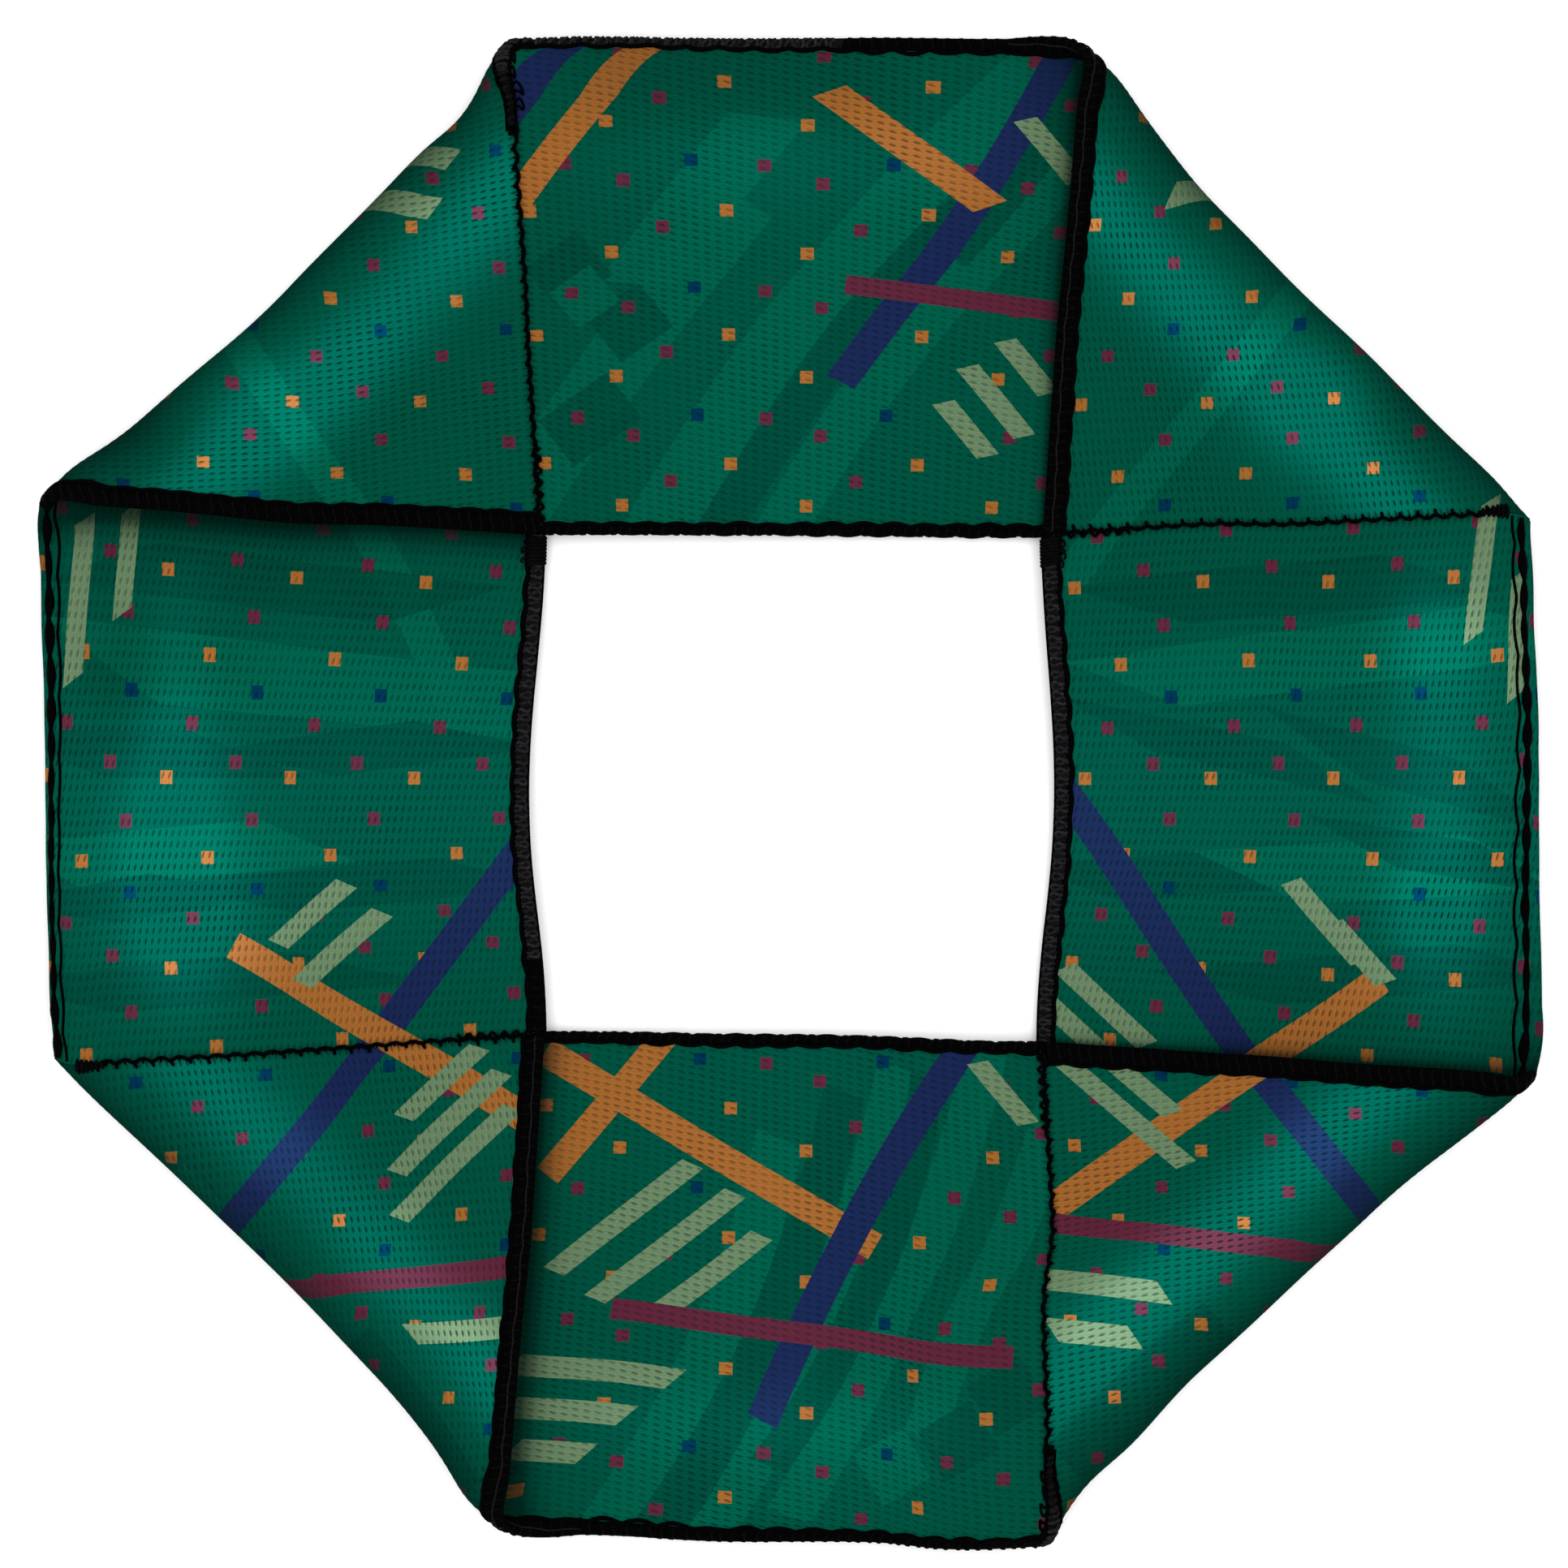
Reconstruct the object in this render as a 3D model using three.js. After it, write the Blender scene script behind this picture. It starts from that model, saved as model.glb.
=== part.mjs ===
import * as THREE from 'three';

// A neck gaiter: one closed band of printed athletic mesh, folded flat at four 45 degree corners, so that it
// lies as an eight-sided ring round a square opening. Millimetres, +Z up, resting on z = 0, with the middle of
// the opening on the Z axis. Four cut panels make the band. Each panel is an arm along one side of the opening
// and the folded corner after it, and the corner's free end is sewn to the next panel's arm.
//
// A panel is described in its flat cut: "along" runs with the band, from the seam at its start (0) to the seam
// at its end (PANEL_LENGTH), and "across" runs from the opening's side (0) to the outside (BAND_WIDTH). Every
// solid is a patch of that flat cut, given a thickness and folded into place with the cloth.

// Driving dimensions of the band
const BAND_WIDTH = 72;
const PANEL_LENGTH = 2 * BAND_WIDTH;
const OPENING_HALF = BAND_WIDTH / 2;
const CLOTH_HALF = 0.3;
const THREAD_HALF = 0.8;
const OVERLOCK_WIDTH = 2.6;
const JOIN_GAP = 0.3;

// Driving dimensions of the folds
const ROLL_RADIUS = 3.2;
const CREST_AT = 14;
const CREST_RISE = 0.5;
const PRESSED_FROM = 42;
const PRESSED_HEIGHT = 2.0;
const LOWER_HEIGHT = THREAD_HALF;

// How the lying band departs from straight flat strips
const FLARE = 4.6;
const HOLE_BOW = 2.0;
const ARM_CREST_FROM_EDGE = 17;
const SIDE_ARM_PUFF = 2.6;
const FLAT_ARM_PUFF = 0.8;

// The band doesn't lie quite evenly. Each entry is a place on the even ring and how far the cloth there lies
// from it. Cloth between the places follows those around it, over about this reach.
const LIE = [
  [[-36, 36], [0.0, 1.4]], [[36, 36], [0.4, 1.1]], [[36, -36], [-0.2, 0.0]], [[-36, -36], [0.2, 1.5]],
  [[0, 36], [0.0, 1.3]], [[0, -36], [0.0, 1.0]], [[-36, 0], [-0.3, 0.0]], [[36, 0], [0.3, 0.0]],
  [[-40, 108], [0.0, 0.9]], [[0, 108], [0.0, 0.2]], [[40, 108], [1.6, -0.3]], [[54, 97], [0.4, 0.5]],
  [[75, 75], [-0.3, -0.3]], [[90, 60], [0.2, 0.2]], [[97, 54], [-0.2, -0.2]], [[108, 40], [-1.8, -0.6]],
  [[108, 0], [-0.6, 0.0]], [[108, -40], [-0.2, 0.0]], [[97, -54], [0.3, -0.4]], [[80, -70], [-1.2, 1.2]],
  [[54, -97], [-2.6, 2.2]], [[40, -108], [-3.8, -1.1]], [[0, -108], [0.0, 0.8]],
  [[-40, -108], [-0.8, 2.4]], [[-54, -97], [-0.2, 0.2]], [[-75, -75], [1.5, 1.5]], [[-97, -54], [1.5, 1.5]],
  [[-108, -40], [1.2, 2.0]], [[-108, 0], [0.7, 0.0]], [[-108, 40], [0.0, 1.6]], [[-97, 54], [-1.0, 1.2]],
  [[-82, 68], [0.9, -0.9]], [[-54, 97], [0.6, -0.6]],
];
const LIE_REACH = 13;

// Smaller moves on top of those, near one place each: the place, the move and its reach.
const TUCKS = [
  [[105, 39], [-0.6, -0.6], 4], [[46, 103], [0.8, 0.7], 4], [[58, 87], [-0.6, -0.6], 7],
  [[-48, 97], [0.6, -0.9], 4], [[-42, 105], [-1.0, 0.2], 3], [[-65, 80], [-0.5, 0.5], 9],
  [[-103, 46], [-1.0, 0.7], 4], [[-106, -37], [0.5, 0.2], 4], [[-56, -87], [0.8, 0.8], 8],
  [[-46, -102], [-1.3, -1.1], 4], [[42, -99], [-0.9, 0.8], 5], [[60, -81], [0.3, -0.3], 7],
  [[91, -53], [-0.8, 0.8], 8], [[107, -39], [-0.9, 0.2], 3], [[87, 57], [-0.3, -0.3], 8],
];

// Seams, serged tails and bunches of thread
const SEAM_HALF_WIDTH = 0.5;
const SEAM_HALF_THICKNESS = 0.7;
const TAIL_HALF_WIDTH = 0.8;
const TAIL_HALF_THICKNESS = 1.2;
const LONG_TAIL = 14;
const SHORT_TAIL = 6;
const TACK_LENGTH = 4;
const TACK_WIDTH = 1.1;

// How finely the patches are divided
const STEP = 7;
const FINE_STEP = 1;
const CORNER_PARTS = 8;
const ROLL_DISTANCES = [0, 1.3, 2.6, 3.9, 5.2, 8, 14, 22, 32, 42];

const ROLL_ARC = ROLL_RADIUS * Math.PI / 2;
const ROLL_RECESS = ROLL_ARC - ROLL_RADIUS;
const CLOTH_FROM = OVERLOCK_WIDTH + JOIN_GAP;
const CLOTH_TO = BAND_WIDTH - CLOTH_FROM;
const ALONG_FROM = TAIL_HALF_WIDTH + JOIN_GAP;
const ALONG_TO = PANEL_LENGTH - ALONG_FROM;

const meshCloth = new THREE.MeshStandardMaterial({ color: 0x005e4a, roughness: 0.75, metalness: 0 });
const blackThread = new THREE.MeshStandardMaterial({ color: 0x09090b, roughness: 0.85, metalness: 0 });

// The band's sides in the order that it runs, clockwise from above. puff is how far the arm rises off the
// table, bow how far its opening edge draws back, tail the length of serging at the outer end of the seam after
// its corner, and tack where along it a bunch of thread sits on the opening's edge.
const top = { name: 'top', corner: 'top_right', puff: FLAT_ARM_PUFF, bow: 0, tail: SHORT_TAIL };
const right = { name: 'right', corner: 'bottom_right', puff: SIDE_ARM_PUFF, bow: HOLE_BOW, tail: LONG_TAIL };
const bottom = { name: 'bottom', corner: 'bottom_left', puff: FLAT_ARM_PUFF, bow: 0, tail: SHORT_TAIL };
const left = { name: 'left', corner: 'top_left', puff: SIDE_ARM_PUFF, bow: HOLE_BOW, tail: LONG_TAIL };
const sides = [top, right, bottom, left];
sides.forEach((side, turn) => {
  side.turn = turn;
  side.next = sides[(turn + 1) % sides.length];
});
right.tack = { name: 'top_right_tack', along: ALONG_FROM };
left.tack = { name: 'top_left_tack', along: BAND_WIDTH - TACK_LENGTH };

function smooth(t) {
  const c = THREE.MathUtils.clamp(t, 0, 1);
  return c * c * (3 - 2 * c);
}

// Height of the corner's upper layer above its lower one, at a cloth distance from the fold line.
function foldHeight(distance) {
  const full = 2 * ROLL_RADIUS + CREST_RISE * smooth((distance - ROLL_ARC) / (CREST_AT - ROLL_ARC));
  const pressed = smooth((distance - CREST_AT) / (PRESSED_FROM - CREST_AT));
  return THREE.MathUtils.lerp(full, PRESSED_HEIGHT, pressed);
}

// How far inside the fold line a strip of the corner's cloth lies, and its height. The cloth rolls over the
// fold as a half circle, and past the roll it lies as far from the fold line as in the flat cut.
function acrossFold(fromFold) {
  const distance = Math.abs(fromFold);
  const isUpper = fromFold > 0;
  if (distance >= ROLL_ARC) {
    return { inside: distance, height: LOWER_HEIGHT + (isUpper ? foldHeight(distance) : 0) };
  }
  const angle = fromFold / ROLL_RADIUS;
  return {
    inside: ROLL_RECESS + ROLL_RADIUS * (1 - Math.cos(angle)),
    height: LOWER_HEIGHT + ROLL_RADIUS * (1 + Math.sin(angle)),
  };
}

// A point of the flat cut after the 45 degree fold, still measured along and across the panel.
function foldedPoint(along, across) {
  const fromFold = (along + across - PANEL_LENGTH) / Math.SQRT2;
  const { inside, height } = acrossFold(fromFold);
  const inward = (fromFold + inside) / Math.SQRT2;
  return new THREE.Vector3(along - inward, across - inward, height);
}

// An arm starts at the free end of the corner before it, here measured along and across the arm.
function armStart(across) {
  const end = foldedPoint(PANEL_LENGTH, BAND_WIDTH - across);
  return new THREE.Vector3(-end.y, end.x - BAND_WIDTH, end.z);
}

// The band is longer round its outside than round the opening, so its corners spread apart outwards.
function flared(x, y, z) {
  const outX = Math.max(0, (x - OPENING_HALF) / BAND_WIDTH);
  const outY = Math.max(0, (y - OPENING_HALF) / BAND_WIDTH);
  const sideX = THREE.MathUtils.clamp(x / OPENING_HALF, -1, 1);
  const sideY = THREE.MathUtils.clamp(y / OPENING_HALF, -1, 1);
  return new THREE.Vector3(
    x + FLARE * sideX * outY * (1 - outX),
    y + FLARE * sideY * outX * (1 - outY),
    z,
  );
}

// How much a place on the ring follows a landmark, from 1 at the landmark to 0 far from it.
function nearness(point, [x, y], reach) {
  return Math.exp(-((point.x - x) ** 2 + (point.y - y) ** 2) / (2 * reach ** 2));
}

// Where a point of the even ring really lies.
function settled(even) {
  const move = new THREE.Vector3();
  let weight = 0.001;
  for (const [place, [x, y]] of LIE) {
    const near = nearness(even, place, LIE_REACH);
    weight += near;
    move.add(new THREE.Vector3(near * x, near * y, 0));
  }
  const point = even.clone().addScaledVector(move, 1 / weight);
  const tuck = new THREE.Vector3();
  for (const [place, [x, y], reach] of TUCKS) {
    tuck.addScaledVector(new THREE.Vector3(x, y, 0), nearness(point, place, reach));
  }
  return point.add(tuck);
}

// A point of the even ring, given as the top side lies, moved to where this side's cloth really lies. The ring
// is turned into its own frame for that, and back.
function settledOn(side, point) {
  const angle = side.turn * Math.PI / 2;
  const axis = new THREE.Vector3(0, 0, 1);
  return settled(point.applyAxisAngle(axis, -angle)).applyAxisAngle(axis, angle);
}

// The middle of a panel's cloth, placed as the top side lies.
function clothPoint(side, along, across) {
  const point = foldedPoint(along, across);
  const start = armStart(across);
  const startShare = 1 - smooth(along / BAND_WIDTH);
  point.x += startShare * start.x;
  point.y += startShare * (start.y - across);
  point.z += startShare * (start.z - LOWER_HEIGHT);
  const midArm = along < BAND_WIDTH ? Math.sin(Math.PI * along / BAND_WIDTH) ** 2 : 0;
  const toCrest = across / (BAND_WIDTH - ARM_CREST_FROM_EDGE);
  const hump = Math.min(smooth(toCrest), smooth((BAND_WIDTH - across) / ARM_CREST_FROM_EDGE));
  point.y += side.bow * midArm * (1 - across / BAND_WIDTH);
  point.z += side.puff * midArm * hump;
  return settledOn(side, flared(point.x - OPENING_HALF, point.y + OPENING_HALF, point.z));
}

// The cloth's face direction, which is up on the arm and down on the corner's upper layer.
function clothNormal(side, along, across) {
  const reach = 0.05;
  const run = clothPoint(side, along + reach, across).sub(clothPoint(side, along - reach, across));
  const rise = clothPoint(side, along, across + reach).sub(clothPoint(side, along, across - reach));
  return run.cross(rise).normalize();
}

function lifted(side, along, across, lift) {
  return clothPoint(side, along, across).addScaledVector(clothNormal(side, along, across), lift);
}

// A point near the seam after a panel's corner. Past the seam it follows the next panel's arm, turned into
// this panel's place, and on the seam it lies midway between the two.
function seamPoint(side, pastSeam, across, lift) {
  const own = lifted(side, PANEL_LENGTH + Math.min(pastSeam, 0), across, lift);
  const other = lifted(side.next, Math.max(pastSeam, 0), BAND_WIDTH - across, -lift);
  other.set(other.y, -other.x, other.z);
  if (pastSeam < 0) {
    return own;
  }
  return pastSeam > 0 ? other : own.lerp(other, 0.5);
}

// Divisions from one value to another, no wider apart than a step.
function divided(from, to, step) {
  const parts = Math.max(1, Math.ceil((to - from) / step));
  return Array.from({ length: parts + 1 }, (_, i) => from + (to - from) * i / parts);
}

// A flat patch is a list of [along, across] points and a list of triangles, wound anticlockwise.
function newPatch() {
  const points = [];
  const triangles = [];
  const indexOf = new Map();
  const add = (along, across) => {
    const key = `${along.toFixed(4)} ${across.toFixed(4)}`;
    if (!indexOf.has(key)) {
      indexOf.set(key, points.push([along, across]) - 1);
    }
    return indexOf.get(key);
  };
  const face = (...corners) => {
    const used = corners.filter((corner, i) => corners.indexOf(corner) === i);
    for (let i = 2; i < used.length; i += 1) {
      triangles.push([used[0], used[i - 1], used[i]]);
    }
  };
  return { points, triangles, add, face };
}

function addGrid(patch, alongs, acrosses) {
  for (let i = 1; i < alongs.length; i += 1) {
    for (let j = 1; j < acrosses.length; j += 1) {
      patch.face(
        patch.add(alongs[i - 1], acrosses[j - 1]), patch.add(alongs[i], acrosses[j - 1]),
        patch.add(alongs[i], acrosses[j]), patch.add(alongs[i - 1], acrosses[j]),
      );
    }
  }
  return patch;
}

const gridPatch = (alongs, acrosses) => addGrid(newPatch(), alongs, acrosses);

// Strips parallel to the fold line, between two lines that each run from start to end.
function addStrip(patch, lineA, lineB) {
  const at = (line, i) => {
    const share = i / CORNER_PARTS;
    return patch.add(
      THREE.MathUtils.lerp(line.start[0], line.end[0], share),
      THREE.MathUtils.lerp(line.start[1], line.end[1], share),
    );
  };
  for (let i = 1; i <= CORNER_PARTS; i += 1) {
    patch.face(at(lineA, i - 1), at(lineB, i - 1), at(lineB, i), at(lineA, i));
  }
}

// The cloth inside a panel's overlocked edges: the arm, then the corner in strips on both sides of its fold.
function clothPatch() {
  const foldFrom = PANEL_LENGTH - CLOTH_TO;
  const foldTo = PANEL_LENGTH - CLOTH_FROM;
  const widest = CLOTH_TO - CLOTH_FROM;
  const offsets = [...ROLL_DISTANCES.map((distance) => distance * Math.SQRT2), widest];
  const patch = newPatch();
  const armRows = offsets.map((offset) => CLOTH_TO - offset).reverse();
  const rollFrom = foldFrom - ROLL_ARC * Math.SQRT2;
  const armAlongs = [
    ...divided(ALONG_FROM, rollFrom, STEP),
    ...divided(rollFrom, foldFrom, FINE_STEP).slice(1),
  ];
  addGrid(patch, armAlongs, armRows);
  const lower = offsets.map((offset) => (
    { start: [foldFrom, CLOTH_TO - offset], end: [foldTo - offset, CLOTH_FROM] }
  ));
  const upper = offsets.map((offset) => (
    { start: [foldFrom + offset, CLOTH_TO], end: [foldTo, CLOTH_FROM + offset] }
  ));
  for (let i = 1; i < offsets.length; i += 1) {
    addStrip(patch, lower[i - 1], lower[i]);
    addStrip(patch, upper[i], upper[i - 1]);
  }
  const endRows = offsets.map((offset) => CLOTH_FROM + offset);
  return addGrid(patch, [foldTo, ALONG_TO], endRows);
}

// Gives a flat patch its thickness: both faces, and a wall along every edge that only one triangle uses.
function solidOf(patch, half, place) {
  const count = patch.points.length;
  const positions = [];
  for (const lift of [-half, half]) {
    for (const [along, across] of patch.points) {
      positions.push(...place(along, across, lift).toArray());
    }
  }
  const index = [];
  const open = new Map();
  for (const [a, b, c] of patch.triangles) {
    index.push(a, c, b, a + count, b + count, c + count);
    for (const [from, to] of [[a, b], [b, c], [c, a]]) {
      if (!open.delete(`${to} ${from}`)) {
        open.set(`${from} ${to}`, [from, to]);
      }
    }
  }
  for (const [from, to] of open.values()) {
    index.push(from, to, to + count, from, to + count, from + count);
  }
  const geometry = new THREE.BufferGeometry();
  geometry.setAttribute('position', new THREE.Float32BufferAttribute(positions, 3));
  geometry.setIndex(index);
  geometry.computeVertexNormals();
  return geometry;
}

function named(name, geometry, material) {
  const mesh = new THREE.Mesh(geometry, material);
  mesh.name = name;
  return mesh;
}

function panelOf(side) {
  const place = (along, across, lift) => lifted(side, along, across, lift);
  return named(`${side.name}_panel`, solidOf(clothPatch(), CLOTH_HALF, place), meshCloth);
}

// The three straight runs of overlocking: along the opening and on under the corner, along the outside as far
// as the roll, and from there over the roll and along the corner's free edge.
function overlockRuns(side) {
  const place = (along, across, lift) => lifted(side, along, across, lift);
  const innerBand = [0, OVERLOCK_WIDTH];
  const outerBand = [BAND_WIDTH - OVERLOCK_WIDTH, BAND_WIDTH];
  const rollFrom = BAND_WIDTH - ROLL_ARC * Math.SQRT2;
  const rollTo = BAND_WIDTH + OVERLOCK_WIDTH + ROLL_ARC * Math.SQRT2;
  const underRoll = PANEL_LENGTH - OVERLOCK_WIDTH - ROLL_ARC * Math.SQRT2;
  const innerAlongs = [
    ...divided(ALONG_FROM, underRoll, STEP),
    ...divided(underRoll, ALONG_TO, FINE_STEP).slice(1),
  ];
  const outerAlongs = divided(ALONG_FROM, rollFrom - JOIN_GAP, STEP);
  const flapAlongs = [
    ...divided(rollFrom, rollTo, FINE_STEP),
    ...divided(rollTo, ALONG_TO, STEP).slice(1),
  ];
  const run = (name, alongs, acrosses) => (
    named(`${side.name}_${name}`, solidOf(gridPatch(alongs, acrosses), THREAD_HALF, place), blackThread)
  );
  return [
    run('inner_edge', innerAlongs, innerBand),
    run('outer_edge', outerAlongs, outerBand),
    run('flap_edge', flapAlongs, outerBand),
  ];
}

// The seam that joins a corner's free end to the next arm, with its serged tail at the outer end.
function seamAndTail(side) {
  const place = (pastSeam, across, lift) => seamPoint(side, pastSeam, across, lift);
  const seamPatch = gridPatch(
    [-SEAM_HALF_WIDTH, 0, SEAM_HALF_WIDTH], divided(side.tail + JOIN_GAP, BAND_WIDTH, STEP / 2),
  );
  const tailPatch = gridPatch([-TAIL_HALF_WIDTH, 0, TAIL_HALF_WIDTH], divided(0, side.tail, FINE_STEP));
  return [
    named(`${side.corner}_seam`, solidOf(seamPatch, SEAM_HALF_THICKNESS, place), blackThread),
    named(`${side.corner}_tail`, solidOf(tailPatch, TAIL_HALF_THICKNESS, place), blackThread),
  ];
}

// A bunch of thread ends on the opening's side of an arm's inner edge.
function tackOf(side) {
  const place = (along, across, lift) => lifted(side, along, across, lift);
  const alongs = divided(side.tack.along, side.tack.along + TACK_LENGTH, FINE_STEP);
  const patch = gridPatch(alongs, [-JOIN_GAP - TACK_WIDTH, -JOIN_GAP]);
  return named(side.tack.name, solidOf(patch, THREAD_HALF, place), blackThread);
}

const gaiter = new THREE.Group();
for (const side of sides) {
  const group = new THREE.Group();
  group.rotation.z = -side.turn * Math.PI / 2;
  group.add(panelOf(side), ...overlockRuns(side), ...seamAndTail(side));
  if (side.tack) {
    group.add(tackOf(side));
  }
  gaiter.add(group);
}

export default gaiter;
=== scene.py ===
import math

import bpy
import numpy as np
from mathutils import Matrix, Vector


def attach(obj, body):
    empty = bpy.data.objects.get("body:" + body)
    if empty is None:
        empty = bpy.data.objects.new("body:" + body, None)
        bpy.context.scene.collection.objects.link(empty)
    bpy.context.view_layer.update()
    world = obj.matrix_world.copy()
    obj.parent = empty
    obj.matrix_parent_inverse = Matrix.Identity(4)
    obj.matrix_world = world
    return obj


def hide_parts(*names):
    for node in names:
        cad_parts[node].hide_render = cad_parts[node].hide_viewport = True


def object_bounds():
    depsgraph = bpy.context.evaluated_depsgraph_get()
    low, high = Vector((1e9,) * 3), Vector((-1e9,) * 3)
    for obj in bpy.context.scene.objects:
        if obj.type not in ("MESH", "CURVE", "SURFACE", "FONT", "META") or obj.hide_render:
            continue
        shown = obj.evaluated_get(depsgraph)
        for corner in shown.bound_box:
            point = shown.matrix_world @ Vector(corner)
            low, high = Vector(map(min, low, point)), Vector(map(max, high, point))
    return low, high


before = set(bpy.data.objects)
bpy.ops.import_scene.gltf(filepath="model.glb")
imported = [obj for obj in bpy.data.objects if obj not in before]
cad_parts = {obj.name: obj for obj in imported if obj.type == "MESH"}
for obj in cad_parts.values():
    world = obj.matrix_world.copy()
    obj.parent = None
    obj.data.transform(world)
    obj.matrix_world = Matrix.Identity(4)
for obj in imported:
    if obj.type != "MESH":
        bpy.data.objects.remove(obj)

# The neck gaiter's look: four folded panels of printed mesh, overlocking thread round every edge, and
# laddered seams. It starts from the same flat cut and fold lines as the CAD model, with rolls, crests and
# wrinkles of its own. "along" runs with the band from a panel's first seam to its last, and "across" from the
# opening's side to the outside.

cad_low, cad_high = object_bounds()

MM = 0.001
TURN = 2 * math.pi
BAND = round((cad_high.x - cad_low.x) / 3, 3)
PANEL = 2 * BAND
HALF = BAND / 2
CLOTH_HALF = 0.25 * MM
LOWER = 0.8 * MM

# The rolled fold: half the roll is a quarter ellipse, which meets the crest and sinks to the pressed part.
ROLL_REACH = 5.2 * MM
ROLL_RISE = 2.9 * MM
ROLL_ARC = math.pi / 2 * math.sqrt((ROLL_REACH**2 + ROLL_RISE**2) / 2)
CREST_AT = 15 * MM
CREST_RISE = 1.3 * MM
PRESSED_FROM = 44 * MM
PRESSED_HEIGHT = 1.9 * MM
# The roll's outline isn't quite straight.
WAVER = 0.9 * MM
WAVER_LENGTH = 17 * MM
WAVER_REACH = 14 * MM

# How far the arms spread towards the outside, and how far in from its outer edge an arm's hump is highest.
FLARE = 4.6 * MM
ARM_CREST = 17 * MM

# The cloth's wrinkles: rise, length along the band and width across it.
BROAD_WRINKLE = (0.75 * MM, 24 * MM, 17 * MM)
FINE_WRINKLE = (0.22 * MM, 8 * MM, 6.5 * MM)
PUCKER_RISE = 0.38 * MM
PUCKER_PITCH = 9.5 * MM
PUCKER_AT = 3.5 * MM
PUCKER_WIDTH = 3.2 * MM
SEAM_FADE = 9 * MM

# The cloth's mesh stops just inside its cut, under the thread.
CLOTH_STEP = 1.0 * MM
SEAM_GAP = 0.06 * MM
EDGE_GAP = 0.3 * MM

# Painted sheen and painted shade on the cloth: where the sheen lies in from a fold and how wide it is,
# how wide it is along an arm's ridge and the puff at which that is full, and how wide and strong the
# painted shade is along a fold's edge. The last is the level of cloth with neither painted on it.
SHEEN_AT = 14.5 * MM
SHEEN_WIDTH = 5.6 * MM
RIDGE_WIDTH = 6.5 * MM
FULL_PUFF = 2.6 * MM
FOLD_SHADE_WIDTH = 5.5 * MM
FOLD_SHADE_STRENGTH = 0.38
UNPAINTED = 0.5

THREAD_SIDES = 6
SCALLOP = 4.4 * MM
LOOP_PITCH = 1.5 * MM
TICK_STEP = 2.6 * MM
LONG_TAIL = 14 * MM
SHORT_TAIL = 5.5 * MM
TAILS = {"top": SHORT_TAIL, "right": LONG_TAIL, "bottom": SHORT_TAIL, "left": LONG_TAIL}


# -------- helpers

def smooth(t):
    """0 up to t = 0, 1 from t = 1, and an even curve between them."""
    c = np.clip(t, 0, 1)
    return c * c * (3 - 2 * c)


def make_noise(seed):
    """Smooth noise from 0 to 1 over two coordinates, the same on every run."""
    size = 64
    table = np.random.default_rng(seed).random((size, size))

    def noise(x, y):
        xi, yi = np.floor(x).astype(int), np.floor(y).astype(int)
        fx, fy = smooth(x - xi), smooth(y - yi)
        x0, x1, y0, y1 = xi % size, (xi + 1) % size, yi % size, (yi + 1) % size
        low = table[x0, y0] * (1 - fx) + table[x1, y0] * fx
        high = table[x0, y1] * (1 - fx) + table[x1, y1] * fx
        return low * (1 - fy) + high * fy

    return noise


# How bright a white surface is under the studio's light, in units of screen white.
STUDIO = 1.45


def linear(red, green, blue):
    """The surface colour that looks like these 0 to 255 screen values under the studio's light."""
    def one(c):
        c /= 255
        return (c / 12.92 if c <= 0.04045 else ((c + 0.055) / 1.055) ** 2.4) / STUDIO
    return (one(red), one(green), one(blue), 1.0)


# The band doesn't lie quite evenly: places on it, and how far each lies from its even place, in millimetres.
LIE = [
    ((-36, 36), (0.0, 1.4)), ((36, 36), (0.4, 1.1)), ((36, -36), (-0.2, 0.0)), ((-36, -36), (0.2, 1.5)),
    ((0, 36), (0.0, 1.3)), ((0, -36), (0.0, 1.0)), ((-36, 0), (-0.3, 0.0)), ((36, 0), (0.3, 0.0)),
    ((-40, 108), (0.0, 0.9)), ((0, 108), (0.0, 0.2)), ((40, 108), (1.6, -0.3)), ((54, 97), (0.4, 0.5)),
    ((75, 75), (-0.3, -0.3)), ((90, 60), (0.2, 0.2)), ((97, 54), (-0.2, -0.2)), ((108, 40), (-1.8, -0.6)),
    ((108, 0), (-0.6, 0.0)), ((108, -40), (-0.2, 0.0)), ((97, -54), (0.3, -0.4)), ((80, -70), (-1.2, 1.2)),
    ((54, -97), (-2.6, 2.2)), ((40, -108), (-3.8, -1.1)), ((0, -108), (0.0, 0.8)),
    ((-40, -108), (-0.8, 2.4)), ((-54, -97), (-0.2, 0.2)), ((-75, -75), (1.5, 1.5)),
    ((-97, -54), (1.5, 1.5)), ((-108, -40), (1.2, 2.0)), ((-108, 0), (0.7, 0.0)), ((-108, 40), (0.0, 1.6)),
    ((-97, 54), (-1.0, 1.2)), ((-82, 68), (0.9, -0.9)), ((-54, 97), (0.6, -0.6)),
]
LIE_REACH = 13
# What keeps a point with no such place near it where it is.
LIE_EVEN = 1e-3
# Smaller moves on top of those, near one place each: the place, the move and its reach, in millimetres.
TUCKS = [
    ((105, 39), (-0.6, -0.6), 4), ((46, 103), (0.8, 0.7), 4), ((58, 87), (-0.6, -0.6), 7),
    ((-48, 97), (0.6, -0.9), 4), ((-42, 105), (-1.0, 0.2), 3), ((-65, 80), (-0.5, 0.5), 9),
    ((-103, 46), (-1.0, 0.7), 4), ((-106, -37), (0.5, 0.2), 4), ((-56, -87), (0.8, 0.8), 8),
    ((-46, -102), (-1.3, -1.1), 4), ((42, -99), (-0.9, 0.8), 5), ((60, -81), (0.3, -0.3), 7),
    ((91, -53), (-0.8, 0.8), 8), ((107, -39), (-0.9, 0.2), 3), ((87, 57), (-0.3, -0.3), 8),
]
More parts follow.
